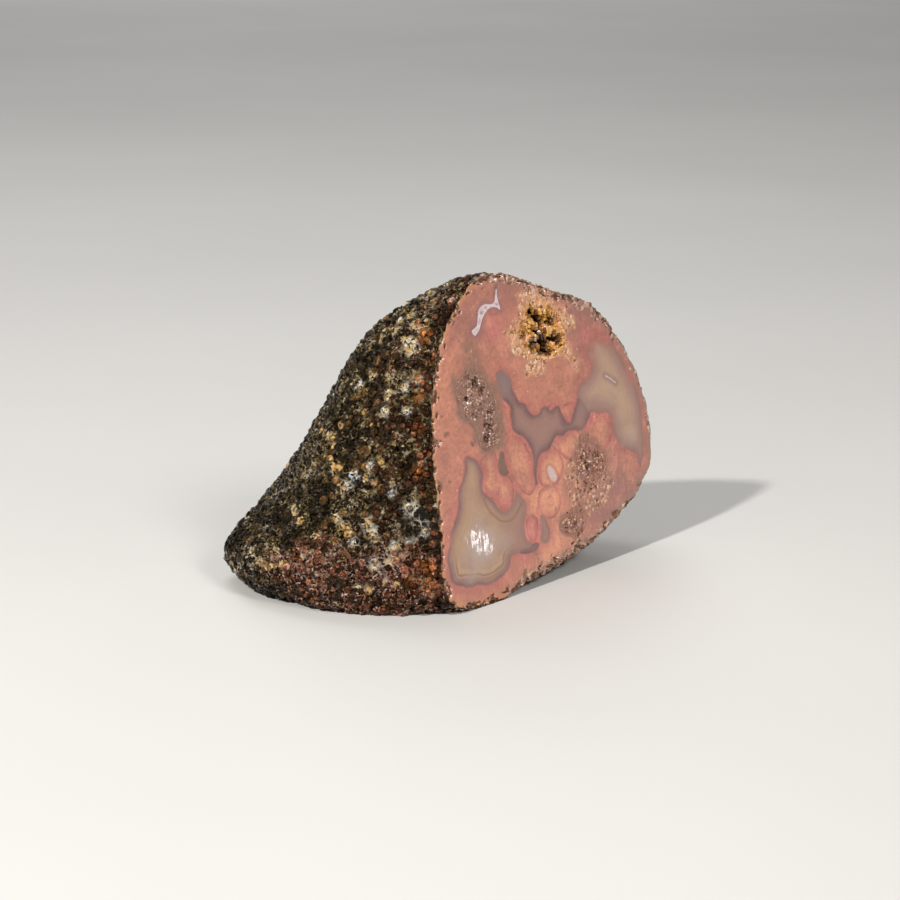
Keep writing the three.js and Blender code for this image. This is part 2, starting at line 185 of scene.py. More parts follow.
WHITE_STREAK = [
    (23.2, 55.2), (23.4, 52.6), (23.8, 51.0), (22.6, 51.5), (21.0, 51.5), (19.6, 50.9),
    (18.6, 49.8), (17.8, 48.4), (16.6, 47.4), (16.0, 47.9), (17.2, 49.2), (17.6, 50.8),
    (18.4, 51.9), (20.4, 52.3), (22.2, 52.3), (22.8, 53.4)]
WHITE_OVAL = [
    (32.2, 19.7), (33.0, 20.2), (34.0, 19.5), (34.8, 18.3), (35.0, 17.3), (34.2, 16.7),
    (33.2, 17.0), (32.5, 18.2)]
WHITE_SPOT = [(46.9, 15.6), (47.9, 15.9), (48.6, 15.0), (48.2, 14.1), (47.2, 14.2)]
# A painted highlight: a thin pale line in the right pool, painted where a glint falls.
PAINTED_GLINT_LINE = [(51.0, 34.1), (52.4, 33.3), (53.9, 32.2)]
PAINTED_GLINT_WIDTH = 0.18
BROWN_ARC = [(14.6, 17.4), (15.4, 15.6), (16.8, 13.8), (18.6, 12.7), (20.2, 12.2), (22, 12.5),
             (23.4, 13.5), (24.4, 14.6)]
SMALL_ARC = [(30.6, 10), (31.2, 8.8), (31.5, 7.4), (31.2, 6)]

# Places that differ from the rest: middle, radius, amount. Mauve, warm, pink and olive colour the
# jasper, cool and finger make a pool greyer, and at a fade a pool has no edge.
AREAS = {
    "mauve": [
        ((15, 52), 6, 0.8), ((21, 47), 5, 0.25), ((48, 45), 7, 1.3), ((54, 43), 6, 1.4),
        ((53, 11), 7, 0.9), ((46, 9), 7, 0.7), ((44, 35), 4, 0.4), ((27, 54), 5, 0.8),
        ((48, 21), 4, 0.3), ((15, 44), 3.5, 0.8), ((61, 18), 3, 0.8), ((41, 15), 5, 0.5),
        ((46, 50), 4, 0.8)],
    "warm": [
        ((30, 13), 5, 1.9), ((6, 36), 6, 0.5), ((28, 39), 5, 0.4), ((8, 46), 5, 0.4),
        ((31, 4), 5, 0.9), ((36, 21), 4, 1.0), ((7, 1.5), 4, 0.3), ((56, 14), 3, 0.3),
        ((25.5, 22), 2.2, 0.4), ((36, 35), 4, 0.3)],
    "pink": [
        ((26.9, 9.0), 2.1, 2.2), ((20.2, 15.6), 1.7, 0.8), ((17.0, 17.6), 1.3, 0.6),
        ((46.2, 26.4), 2.2, 0.7), ((23.6, 4.4), 1.8, 0.6), ((6.4, 16.6), 2.0, 0.5),
        ((21.5, 48), 4.5, 0.7), ((46, 43), 3.0, 0.6), ((40.2, 27.8), 1.3, 0.5),
        ((12, 24), 2.5, 0.4), ((32, 22.6), 1.6, 0.5), ((52, 18), 2.5, 0.3),
        ((19.6, 35.6), 1.2, 0.5), ((3.8, 9), 2.4, 0.4), ((9, 1.6), 3.0, 0.3)],
    "olive": [
        ((14.6, 45.4), 2.2, 0.6), ((15.4, 42.6), 2.0, 0.6), ((9.6, 39), 1.6, 0.4)],
    "fade": [
        ((50.5, 41.5), 4.0, 1.0), ((45.5, 36.0), 2.6, 0.7), ((59.0, 33.0), 3.0, 0.7),
        ((51.0, 25.5), 2.6, 0.5), ((5.0, 12.0), 1.8, 0.5), ((6.5, 17.0), 1.8, 0.5),
        ((27.0, 12.5), 2.4, 0.6), ((29.5, 31.5), 1.6, 0.3), ((53.5, 19.0), 2.0, 0.4)],
    "cool": [
        ((13.2, 9.0), 3.6, 0.9), ((9.5, 4.2), 2.6, 0.5), ((20.0, 8.5), 3.0, 0.4),
        ((53.0, 30.0), 3.0, 0.3), ((57.5, 21.0), 2.0, 0.5)],
    "finger": [
        ((22.6, 37.6), 3.2, 1.1), ((44.4, 29.0), 2.4, 0.6), ((30.5, 24.5), 2.0, 0.3)],
}

# Where the cut runs through crystals: the ground is pitted and broken up there.
ROUGH_GOLD = [
    (22.8, 45.4), (23.6, 47.6), (26, 48.6), (28, 50.2), (29.5, 52.6), (32, 54), (35.5, 53.2),
    (38.6, 51), (41.6, 48.2), (44.4, 46.6), (44.6, 44.8), (42.6, 43.2), (42.2, 41),
    (44.2, 38), (43.4, 36.4), (40.6, 38.6), (38, 39.4), (35, 39.2), (32.6, 36.8), (29.4, 38.2),
    (28, 41), (25.6, 43.6)]
ROUGH_GREY = [
    (29, 55.8), (32, 53.8), (36.5, 51.6), (41, 49), (45, 48.2), (46.4, 49), (43, 50.8),
    (39, 52), (34, 54.4)]
ROUGH_SMOKY = [
    (17, 41.6), (12.4, 41.8), (9.6, 39), (9.8, 35), (12.2, 31.6), (14.2, 29.2), (15, 26.2),
    (18.6, 25.4), (20.7, 28), (21, 32), (20.2, 37.2)]
ROUGH_ROSE = [
    (39.4, 22.6), (37.6, 19.4), (36.6, 16.4), (38, 12.6), (36.4, 10.6), (33.8, 8.2), (36, 5.4),
    (41, 5), (44.4, 8.6), (47.4, 9), (50, 12.4), (50.4, 17), (48.6, 21.4), (45, 23.4), (41.6, 24)]
ROUGH_OLIVE = [
    (14.4, 46.4), (15.8, 45.6), (16.8, 43.8), (17.4, 41.2), (15.6, 40.0), (12.8, 41.2),
    (12.6, 44.0), (13.4, 45.8)]
ROUGH_ZONES = [             # outline, amount, and how golden the crystals are
    (ROUGH_GOLD, 0.85, 1.0), (ROUGH_GREY, 0.6, 0.0), (ROUGH_SMOKY, 0.5, 0.15),
    (ROUGH_ROSE, 0.55, 0.36), (ROUGH_OLIVE, 0.35, 0.0)]
CELL_PITCH = 0.62           # between the crystals that the cut runs through
PIT_DEPTH = 0.60
RIM_PITS = 0.12             # how pitted the top and right edges are
RIM_ROUGH = 2.0             # crystals are cut this far in from the top and right edges
FAR_SIDE = 19               # those edges are finely drawn beyond this u
# Round these hollows the ground is the colour of their lining, as far out as reach.
LININGS = {
    "smoky": dict(hollows=["smoky_druse"], reach=2.2, color=(0.300, 0.160, 0.120)),
    "rosy": dict(hollows=["rose_druse", "cream_druse"], reach=1.6, color=(0.345, 0.162, 0.118))}

# Small dark dents: middle, length, width, turn in degrees.
DENTS = [
    ((7, 31), 2.2, 0.9, 18), ((4.1, 22.4), 2.6, 0.8, -58), ((6.6, 22.4), 0.8, 0.5, -30),
    ((13.2, 28), 1.0, 0.7, -35), ((28.4, 2.4), 1.1, 0.7, 60), ((12.4, 47), 0.9, 0.5, 20),
    ((6.2, 34.4), 1.1, 0.45, 10), ((23.6, 1.4), 2.4, 0.8, 70)]
EDGE_CHIP_PITCH = 0.95      # bites in the left and lower edges of the cut
EDGE_CHIP_REACH = 2.0
EDGE_CHIP_DEPTH = 0.45
DENT_DEPTH = 0.05
RIPPLES = dict(centre=(12.6, 10.2), radius=4.5, depth=0.026)   # faint ripples in the low pool

FACE_STEP = 0.30            # between points on the polished face
ROUGH_STEP = 0.18           # between points where crystals are cut
OUTLINE_CLEAR = 0.15        # inner points keep this far from an outline
MOUTH_CLEAR = 0.1           # and this far from the mouth of a hollow
CHIPPED = 0.3               # pits deeper than this share hold crystals
FAR = 9.0                   # a mark further off than this doesn't count
VALUE_AWAY = {"seam": FAR, "spot": FAR, "arc": FAR, "white": -FAR, "oval": -FAR, "pool": -FAR,
              "tube": -FAR}     # off the face

# ---------------- the rind's patches

# Middle [u, v, depth] and radius of the patches that stand out on the side by the cut.
RIND_PATCHES = {
    "pale": [
        ((5.3, 47.2, 5.2), 1.9), ((5.4, 48.6, 6.6), 1.4), ((7.3, 49.9, 4.6), 1.0),
        ((7.7, 50.6, 6.4), 1.0), ((9.2, 52.0, 8.4), 1.0), ((8.8, 51.0, 10.9), 1.0),
        ((7.0, 49.6, 10.2), 1.1), ((13.0, 53.0, 14.0), 1.0), ((6.5, 48.2, 14.0), 1.0),
        ((14.0, 55.0, 7.8), 1.2), ((1.9, 42.3, 12.4), 1.2), ((1.0, 40.5, 15.4), 1.1),
        ((1.0, 39.1, 7.7), 1.3), ((2.0, 40.5, 4.5), 1.3), ((3.9, 41.3, 2.2), 1.0),
        ((-0.2, 36.1, 7.9), 1.1), ((1.5, 36.1, 4.1), 0.9), ((-5.1, 25.3, 12.4), 1.2),
        ((-5.8, 23.5, 13.9), 1.2), ((-3.5, 26.8, 9.8), 1.1), ((-2.4, 21.7, 5.9), 0.9),
        ((-0.9, 18.8, 3.2), 1.6), ((0.2, 16.0, 1.8), 1.4), ((-6.2, 17.0, 9.0), 1.3),
        ((-5.9, 15.3, 8.4), 1.2), ((-8.2, 13.8, 10.9), 1.0), ((-3.7, 12.5, 5.5), 1.1),
        ((-1.7, 13.3, 3.0), 1.1), ((0.5, 14.1, 1.7), 1.0), ((-6.5, 9.5, 8.0), 1.3),
        ((-4.2, 9.8, 5.8), 1.2)],
    "worn": [
        ((0.0, 37.5, 13.4), 1.1), ((-1.0, 36.0, 12.6), 1.0), ((-1.1, 33.8, 9.8), 1.2),
        ((-4.5, 29.1, 18.5), 1.7), ((-5.1, 26.7, 16.3), 1.4), ((-3.4, 30.9, 18.6), 1.2),
        ((-2.4, 27.2, 7.8), 1.0), ((-3.7, 23.5, 7.6), 1.1), ((-2.0, 33.4, 18.0), 1.0),
        ((-8.2, 16.0, 12.5), 1.6), ((-10.2, 17.4, 22.5), 1.0), ((-4.0, 5.6, 5.4), 0.9),
        ((-7.0, 4.4, 9.2), 1.0), ((12.0, 54.2, 5.0), 1.0)],
    "amber": [
        ((0.4, 7.9, 1.8), 1.8), ((0.5, 4.6, 1.2), 1.8), ((0.2, 25.5, 1.2), 1.9),
        ((1.2, 33.0, 1.5), 1.4), ((0.4, 21.5, 1.0), 1.2), ((-1.5, 5.5, 3.2), 1.8),
        ((3.0, 43.0, 2.0), 1.6), ((6.5, 49.0, 3.0), 1.8), ((2.4, 38.5, 2.0), 1.4)],
    "black": [((0.0, 17.3, 1.8), 2.6), ((-1.6, 15.6, 3.4), 2.2)],
}

# ---------------- places and lines


def in_stone(u, v, depth):
    """Points of the stone's own frame, in millimetres, from places on and behind the face."""
    u, v, depth = np.broadcast_arrays(u, v, depth)
    up = v * math.cos(FACE_LEAN) - depth * math.sin(FACE_LEAN)
    back = v * math.sin(FACE_LEAN) + depth * math.cos(FACE_LEAN)
    return np.stack([u, back, up], -1)


def on_face(points):
    """The u, v of points that are given in the stone's own frame."""
    up = points[:, 1] * math.sin(FACE_LEAN) + points[:, 2] * math.cos(FACE_LEAN)
    return np.column_stack([points[:, 0], up])


def behind_face(points):
    """How far points of the stone's own frame lie behind the plane of the cut."""
    return points @ in_stone(0, 0, 1.0)


def cubic_shares(t):
    """For a cubic at t, from 0 to 1: the shares of its start, slope there, end, and slope there."""
    return 2 * t**3 - 3 * t**2 + 1, t**3 - 2 * t**2 + t, 3 * t**2 - 2 * t**3, t**3 - t**2


def smooth_curve(corners, closed=True, fine=24):
    """A dense smooth line through the corners (a centripetal Catmull-Rom curve)."""
    p = np.array(corners, float)
    if closed:
        before, start, end, after = (np.roll(p, n, 0) for n in (1, 0, -1, -2))
    else:
        long = np.vstack([2 * p[0] - p[1], p, 2 * p[-1] - p[-2]])
        before, start, end, after = long[:-3], long[1:-2], long[2:-1], long[3:]
    span = [np.linalg.norm(b - a, axis=1)[:, None] ** 0.5
            for a, b in ((before, start), (start, end), (end, after))]
    slope_start = ((start - before) / span[0] - (end - before) / (span[0] + span[1])
                   + (end - start) / span[1]) * span[1]
    slope_end = ((end - start) / span[1] - (after - start) / (span[1] + span[2])
                 + (after - end) / span[2]) * span[1]
    a, b, c, d = cubic_shares(np.linspace(0, 1, fine, endpoint=False)[None, :, None])
    line = (a * start[:, None] + b * slope_start[:, None]
            + c * end[:, None] + d * slope_end[:, None]).reshape(-1, 2)
    return line if closed else np.vstack([line, p[-1]])


def evenly(line, count):
    """Points at even distances round a closed line, from its first point on."""
    ring = np.vstack([line, line[:1]])
    length = np.concatenate([[0], np.cumsum(np.linalg.norm(np.diff(ring, axis=0), axis=1))])
    at = np.arange(count) / count * length[-1]
    return np.stack([np.interp(at, length, ring[:, way]) for way in (0, 1)], -1)


def distance_to(points, line, closed=True):
    """How far each point lies from a line."""
    starts = line if closed else line[:-1]
    ends = np.roll(line, -1, 0) if closed else line[1:]
    nearest = np.full(len(points), 1e9)
    for a, b in zip(starts, ends):
        along = b - a
        t = np.clip((points - a) @ along / max(along @ along, 1e-12), 0, 1)
        nearest = np.minimum(nearest, np.linalg.norm(points - a - t[:, None] * along, axis=1))
    return nearest


def is_inside(points, loop):
    """Whether each point lies inside a closed line."""
    x, y = points[:, 0], points[:, 1]
    odd = np.zeros(len(points), bool)
    for (ax, ay), (bx, by) in zip(loop, np.roll(loop, -1, 0)):
        if ay != by:
            odd ^= ((ay > y) != (by > y)) & (x < (bx - ax) * (y - ay) / (by - ay) + ax)
    return odd


def depth_inside(points, loop):
    """How far each point lies inside a closed line; less than 0 outside it."""
    return np.where(is_inside(points, loop), 1, -1) * distance_to(points, loop)


def outline_of(corners, closed=True):
    """The line of a mark on the face."""
    return smooth_curve(corners, closed, fine=6)


def inside_of(points, corners):
    """How far each point lies inside a mark; less than 0 outside it."""
    return depth_inside(points, outline_of(corners))


def from_line(points, corners):
    """How far each point lies from a mark that is an open line."""
    return distance_to(points, outline_of(corners, False), closed=False)


def mouth_of(hollow):
    return evenly(smooth_curve(hollow["outline"]), MOUTH_AROUND)


def step_up(value, low, high):
    """0 up to low, 1 from high on, smooth between them. high may be the lower one."""
    t = np.clip((value - low) / (high - low), 0, 1)
    return t * t * (3 - 2 * t)


def hex_points(low, high, step):
    """Points in a pattern of equal triangles over a rectangle."""
    rows = np.arange(low[1], high[1], step * math.sqrt(3) / 2)
    columns = np.arange(low[0], high[0], step)
    u = columns[None, :] + 0.5 * step * (np.arange(len(rows))[:, None] % 2)
    v = np.broadcast_to(rows[:, None], u.shape)
    return np.stack([u.ravel(), v.ravel()], -1)


TABLE = 64                  # the random tables repeat after this many cells


def cell_values(points, pitch, seed):
    """For each point the value of its nearest jittered cell, and the distance to the border."""
    table = np.random.default_rng(seed).random((TABLE, TABLE, 3))
    cell = np.floor(points / pitch).astype(int)
    best = np.full(len(points), 1e9)
    second = np.full(len(points), 1e9)
    value = np.zeros(len(points))
    for i in (-1, 0, 1):
        for j in (-1, 0, 1):
            at = cell + (i, j)
            own = table[at[:, 0] % TABLE, at[:, 1] % TABLE]
            away = np.linalg.norm((at + own[:, :2]) * pitch - points, axis=1)
            closer = away < best
            second = np.where(closer, best, np.minimum(second, away))
            value = np.where(closer, own[:, 2], value)
            best = np.where(closer, away, best)
    return value, second - best


def soft_noise(points, pitch, seed):
    """Smooth noise from -1 to 1 whose swells are about pitch wide."""
    table = np.random.default_rng(seed).random((TABLE, TABLE)) * 2 - 1
    place = points / pitch
    cell = np.floor(place).astype(int)
    t = place - cell
    t = t * t * (3 - 2 * t)
    corner = [[table[(cell[:, 0] + i) % TABLE, (cell[:, 1] + j) % TABLE] for j in (0, 1)]
              for i in (0, 1)]
    low = corner[0][0] * (1 - t[:, 0]) + corner[1][0] * t[:, 0]
    high = corner[0][1] * (1 - t[:, 0]) + corner[1][1] * t[:, 0]
    return low * (1 - t[:, 1]) + high * t[:, 1]


# ---------------- meshes


def new_object(name, data):
    made = bpy.data.objects.new(name, data)
    bpy.context.scene.collection.objects.link(made)
    return made


def turn_to(made, way):
    """A camera or lamp, turned to look along a way."""
    made.rotation_mode = "QUATERNION"
    made.rotation_quaternion = Vector(way).to_track_quat("-Z", "Y")


def store(mesh, key, value):
    kept = mesh.attributes.get(key) or mesh.attributes.new(key, "FLOAT", "POINT")
    kept.data.foreach_set("value", np.asarray(value, np.float32))


def stored(mesh, key):
    value = np.empty(len(mesh.vertices), np.float32)
    mesh.attributes[key].data.foreach_get("value", value)
    return value


def mesh_object(name, points, faces, values):
    """A mesh object at the origin, from points in the stone's frame in millimetres."""
    mesh = bpy.data.meshes.new(name)
    points = (np.asarray(points, float) + FACE_CORNER) * MM
    faces = np.asarray(faces, np.int32)
    mesh.vertices.add(len(points))
    mesh.vertices.foreach_set("co", points.astype(np.float32).ravel())
    mesh.loops.add(faces.size)
    mesh.loops.foreach_set("vertex_index", faces.ravel())
    mesh.polygons.add(len(faces))
    corners = faces.shape[1]
    mesh.polygons.foreach_set("loop_start", np.arange(0, faces.size, corners, dtype=np.int32))
    mesh.polygons.foreach_set("loop_total", np.full(len(faces), corners, np.int32))
    for key, value in values.items():
        store(mesh, key, value)
    mesh.update(calc_edges=True)
    mesh.validate()
    return new_object(name, mesh)


def patch(loops, inner):
    """Triangles that fill the first loop, around the others, through the inner points."""
    points = np.vstack([*loops, inner])
    edges = []
    first = 0
    for loop in loops:
        count = len(loop)
        edges += [(first + k, first + (k + 1) % count) for k in range(count)]
        first += count
    made = delaunay_2d_cdt([Vector(p) for p in points], edges, [], 0, 1e-6, True)
    own = np.array([origin[0] if origin else -1 for origin in made[3]])
    triangles = np.array(made[2])
    flat = np.array([tuple(p) for p in made[0]])
    middle = flat[triangles].mean(1)
    kept = is_inside(middle, loops[0])
    for loop in loops[1:]:
        kept &= ~is_inside(middle, loop)
    triangles = triangles[kept]
    assert (own[triangles] >= 0).all(), "the outlines cross each other"
    corner = flat[triangles]
    side_a = corner[:, 1] - corner[:, 0]
    side_b = corner[:, 2] - corner[:, 0]
    turned = side_a[:, 0] * side_b[:, 1] - side_a[:, 1] * side_b[:, 0] < 0
    triangles[turned] = triangles[turned][:, ::-1]
    return points, own[triangles]


def band(ring_a, ring_b):
    """Triangles that join two rings of point numbers of the same count."""
    next_a, next_b = np.roll(ring_a, -1), np.roll(ring_b, -1)
    return np.vstack([np.stack([ring_a, ring_b, next_b], -1),
                      np.stack([ring_a, next_b, next_a], -1)])


def fan(middle, ring):
    """Triangles that join one point to a ring of point numbers."""
    return np.stack([np.full(len(ring), middle), ring, np.roll(ring, -1)], -1)


# ---------------- the stone's skin


def cell_share(i, j, k, salt):
    """A number from 0 to 1 that belongs to a cell, mixed from the cell's own numbers."""
    mixed = np.sin(i * 127.1 + j * 311.7 + k * 74.7 + salt * 53.3) * 43758.5453
    return mixed - np.floor(mixed)


def mounds(points):
    """Rounded mounds packed side by side: 1 on top of a mound, 0 in the creases."""
    cell = points / MOUND_PITCH
    base = np.floor(cell)
    nearest = np.full(len(points), 1e9)
    for i in (-1, 0, 1):
        for j in (-1, 0, 1):
            for k in (-1, 0, 1):
                at = base + (i, j, k)
                top = at + np.stack([cell_share(*at.T, salt) for salt in (1, 2, 3)], -1)
                nearest = np.minimum(nearest, np.linalg.norm(top - cell, axis=1))
    return np.sqrt(np.maximum(0, 1 - nearest**2))


def skin_rings():
    """Rings of points [u, v, depth] over the rind, from the cut to the toe."""
    depths = np.array([depth for depth, _ in SECTIONS], float)
    places = np.array([evenly(smooth_curve(outline), SKIN_AROUND) for _, outline in SECTIONS])
    slopes = np.empty_like(places)
    slopes[1:-1] = (places[2:] - places[:-2]) / (depths[2:] - depths[:-2])[:, None, None]
    slopes[0] = (places[1] - places[0]) / (depths[1] - depths[0])
    slopes[-1] = (places[-1] - places[-2]) / (depths[-1] - depths[-2])
    rings = []
    for depth in np.linspace(0, depths[-1], int(round(depths[-1] / SKIN_STEP)) + 1):
        n = min(np.searchsorted(depths, depth, side="right") - 1, len(depths) - 2)
        span = depths[n + 1] - depths[n]
        a, b, c, d = cubic_shares((depth - depths[n]) / span)
        ring = (a * places[n] + b * span * slopes[n]
                + c * places[n + 1] + d * span * slopes[n + 1])
        rings.append(np.column_stack([ring, np.full(len(ring), depth)]))
    last = rings[-1]
    for n in range(1, TOE_RINGS):
        angle = n / TOE_RINGS * math.pi / 2
        ring = np.array(TOE_PLACE) + (last[:, :2] - TOE_PLACE) * math.cos(angle)
        depth = last[0, 2] + (TOE_DEPTH - last[0, 2]) * math.sin(angle)
        rings.append(np.column_stack([ring, np.full(len(ring), depth)]))
    return np.array(rings)


def skin_surface():
    """The rind's points, its triangles, and each point's way out."""
    rings = skin_rings()
    count = SKIN_AROUND
    toe = in_stone(*TOE_PLACE, TOE_DEPTH)
    points = np.vstack([in_stone(*rings.reshape(-1, 3).T), toe[None]])
    numbers = np.arange(len(rings) * count).reshape(len(rings), count)
    faces = np.vstack([band(a, b) for a, b in zip(numbers[:-1], numbers[1:])]
                      + [fan(len(points) - 1, numbers[-1])[:, ::-1]])
    out = np.zeros_like(points)
    corner = points[faces]
    square = np.cross(corner[:, 1] - corner[:, 0], corner[:, 2] - corner[:, 0])
    for side in range(3):
        np.add.at(out, faces[:, side], square)
    out /= np.linalg.norm(out, axis=1)[:, None]
    face_out = in_stone(0, 0, -1.0)
    edge = out[:count] - (out[:count] @ face_out)[:, None] * face_out
    out[:count] = edge / np.linalg.norm(edge, axis=1)[:, None]
    swell = MOUND_HEIGHT * (mounds(points) - MOUND_LEVEL)
    rim = points[:count][:, [0, 2]]
    swell[:count] += RIM_WAVE * (soft_noise(rim, 2.6, 17) + 0.6 * soft_noise(rim, 1.1, 18))
    return points + out * (swell - WEB_SUNK)[:, None], faces, numbers[0]


def kept_in(points):
    """The points, brought inside the box of the solids, whose floor is the ground."""
    low, high = (np.array(corner) / MM - FACE_CORNER for corner in (cad_low, cad_high))
    return np.clip(points, low, high)


def patch_values(points):
    """How far each point belongs to each kind of patch on the rind, from 0 to 1."""
    values = {}
    for kind, patches in RIND_PATCHES.items():
        share = np.zeros(len(points))
        for middle, radius in patches:
            away = np.linalg.norm(points - in_stone(*middle), axis=1) / radius
            share = np.maximum(share, step_up(away, 1.3, 0.6))
        values[kind] = share
    return values


# ---------------- the face's values


def wells(loop, centre, depth):
    """Rings down the wall of a hollow below its mouth, and the middle of its floor."""
    centre = np.array(centre)
    rings = [np.column_stack([centre + (loop - centre) * width, np.full(len(loop), depth * share)])
             for width, share in WELL_LEVELS]
    return rings, np.array([*centre, depth])


def wandering(points, seed):
    """The points moved a little to and fro, so that a line tested with them wanders."""
    wide = [soft_noise(points, 2.2, seed + n) for n in (0, 1)]
    fine = [soft_noise(points, 0.8, seed + n) for n in (2, 3)]
    return points + 0.30 * np.stack(wide, -1) + 0.10 * np.stack(fine, -1)


def area_share(points, areas):
    """How much of an amount each point takes from the areas round it."""
    share = np.zeros(len(points))
    for middle, radius, amount in areas:
        away = np.linalg.norm(points - middle, axis=1) / radius
        share += amount * np.exp(-away**2)
    return share


def pool_values(points):
    """How deep each point lies in the nearest pool, and which kind of pool that is."""
    depth = np.full(len(points), -FAR)
    kinds = {"pool_" + kind: np.zeros(len(points)) for kind in ("low", "right", "wedge")}
    for kind, corners in POOLS:
        inside = inside_of(points, corners)
        nearer = inside > depth
        depth = np.where(nearer, inside, depth)
        for name in kinds:
            kinds[name] = np.where(nearer, float(name == "pool_" + kind), kinds[name])
    return {"pool": depth, **kinds}


def rough_values(points, rim):
    """How much of the ground is cut crystals, how golden they are, and the pits between them."""
    cloudy = 1.3 * soft_noise(points, 2.4, 7) + 0.7 * soft_noise(points, 0.9, 8)
    rough = np.zeros(len(points))
    gold = np.zeros(len(points))
    for corners, amount, golden in ROUGH_ZONES:
        inside = inside_of(points, corners) + cloudy
        rough = np.maximum(rough, amount * step_up(inside, -1.0, 2.0))
        gold = np.maximum(gold, golden * step_up(inside, -1.4, 0.4))
    far_side = step_up(points[:, 0] + 0.5 * cloudy, 18, 24)
    reach = RIM_ROUGH * (1 - 0.5 * step_up(points[:, 0], 44, 54))
    knobbly = far_side * step_up(reach + 0.6 * cloudy - rim, 0, 1.2)
    value, border = cell_values(points, CELL_PITCH, 31)
    small_value, small_border = cell_values(points, 0.5 * CELL_PITCH, 33)
    share = np.maximum(rough, RIM_PITS * knobbly) * (0.75 + 0.5 * soft_noise(points, 1.5, 35))
    pit = step_up(value - 1 + 0.5 * share, 0, 0.15) * step_up(border, 0.02, 0.16)
    crack = step_up(small_value - 1 + 0.3 * share, 0, 0.1) * step_up(small_border, 0, 0.1)
    values = {"rough": rough, "gold": gold, "pit": np.maximum(pit, 0.5 * crack),
              "knobbly": knobbly}
    for kind, lining in LININGS.items():
        near = np.max([inside_of(points, HOLLOWS[name]["outline"]) for name in lining["hollows"]], 0)
        ragged = near + 0.8 * cloudy * step_up(near, 0, -0.8)
        values[kind] = step_up(ragged, -lining["reach"], -0.1)
    return values


def dent_values(points):
    """1 in the small dark dents, which are ovals with an uneven edge."""
    dent = np.zeros(len(points))
    for middle, length, width, turn in DENTS:
        angle = math.radians(turn)
        along = np.array([math.cos(angle), math.sin(angle)])
        across = np.array([-along[1], along[0]])
        away = points - middle
        reach = np.hypot(away @ along / (length / 2), away @ across / (width / 2))
        dent = np.maximum(dent, step_up(1.25 - reach + 0.35 * soft_noise(points, 0.5, 9), 0, 0.6))
    return dent


def edge_chips(points, rim):
    """The left and lower edges of the cut have small broken bites in them."""
    value, border = cell_values(points, EDGE_CHIP_PITCH, 41)
    reach = EDGE_CHIP_REACH * value**2 * (1 + 0.5 * soft_noise(points, 3.0, 42))
    near = step_up(points[:, 0] - 0.9 * points[:, 1], 24, 10)
    near = np.maximum(near, step_up(points[:, 1], 14, 8))
    return near * step_up(reach - rim, -0.08, 0.12)


def face_values(points, rim):
    """What the face's finish is made from: distances to its marks, in millimetres."""
    bent = wandering(points, 21)
    values = pool_values(bent)
    tubes = [inside_of(bent, corners) for corners in TUBES]
    spots = [np.linalg.norm(bent - middle, axis=1) / radius for middle, radius in RING_SPOTS]
    # The thin pale line in the right pool is a painted glint, kept with the white veins.
    crack = 0.5 * PAINTED_GLINT_WIDTH - from_line(points, PAINTED_GLINT_LINE)
    values.update({
        "tube": np.maximum(np.max(tubes, 0), -FAR),
        "seam": np.minimum(np.min(np.abs(tubes), 0), FAR),
        "spot": np.minimum(np.min(spots, 0), FAR),
        "white": np.maximum(inside_of(bent, WHITE_STREAK), crack),
        "oval": np.maximum(inside_of(points, WHITE_OVAL), inside_of(points, WHITE_SPOT)),
        "arc": np.minimum(from_line(bent, BROWN_ARC), from_line(bent, SMALL_ARC) + 0.1),
        "dent": dent_values(points), "rim": rim, "chip": edge_chips(points, rim)})
    values.update({kind: area_share(points, areas) for kind, areas in AREAS.items()})
    values.update(rough_values(points, rim))
    return values


def face_depth(points, values):
    """How far each point of the face lies behind the plane of the cut."""
    depth = PIT_DEPTH * values["pit"] * (0.75 + 0.25 * soft_noise(points, 0.4, 37))
    depth += DENT_DEPTH * values["dent"] + EDGE_CHIP_DEPTH * values["chip"]
    away = np.linalg.norm(points - RIPPLES["centre"], axis=1) / RIPPLES["radius"]
    drawn = points * (1.0, 0.5)
    ripple = 0.5 + 0.5 * soft_noise(drawn, 0.8, 3) + 0.2 * soft_noise(drawn, 0.4, 4)
    depth += RIPPLES["depth"] * np.maximum(0, 1 - away**2) * ripple
    return np.maximum(depth, 0)


# ---------------- the stone


def face_points(rim, loops):
    """Points on the face: fine where crystals are cut or the pool is rippled, wider elsewhere."""
    low, high = rim.min(0), rim.max(0)
    zones = [outline_of(corners) for corners, _, _ in ROUGH_ZONES]

    def is_fine(points):
        near = np.max([depth_inside(points, zone) for zone in zones], 0) > -1.0
        near |= np.linalg.norm(points - RIPPLES["centre"], axis=1) < RIPPLES["radius"]
        from_rim = depth_inside(points, rim)
        near |= (points[:, 0] > FAR_SIDE) & (from_rim < RIM_ROUGH)
        return near | (from_rim < EDGE_CHIP_REACH)

    coarse = hex_points(low, high, FACE_STEP)
    fine = hex_points(low, high, ROUGH_STEP)
    inner = np.vstack([coarse[~is_fine(coarse)], fine[is_fine(fine)]])
    clear = depth_inside(inner, rim) > OUTLINE_CLEAR
    for loop in loops:
        clear &= depth_inside(inner, loop) < -MOUTH_CLEAR
    return inner[clear]


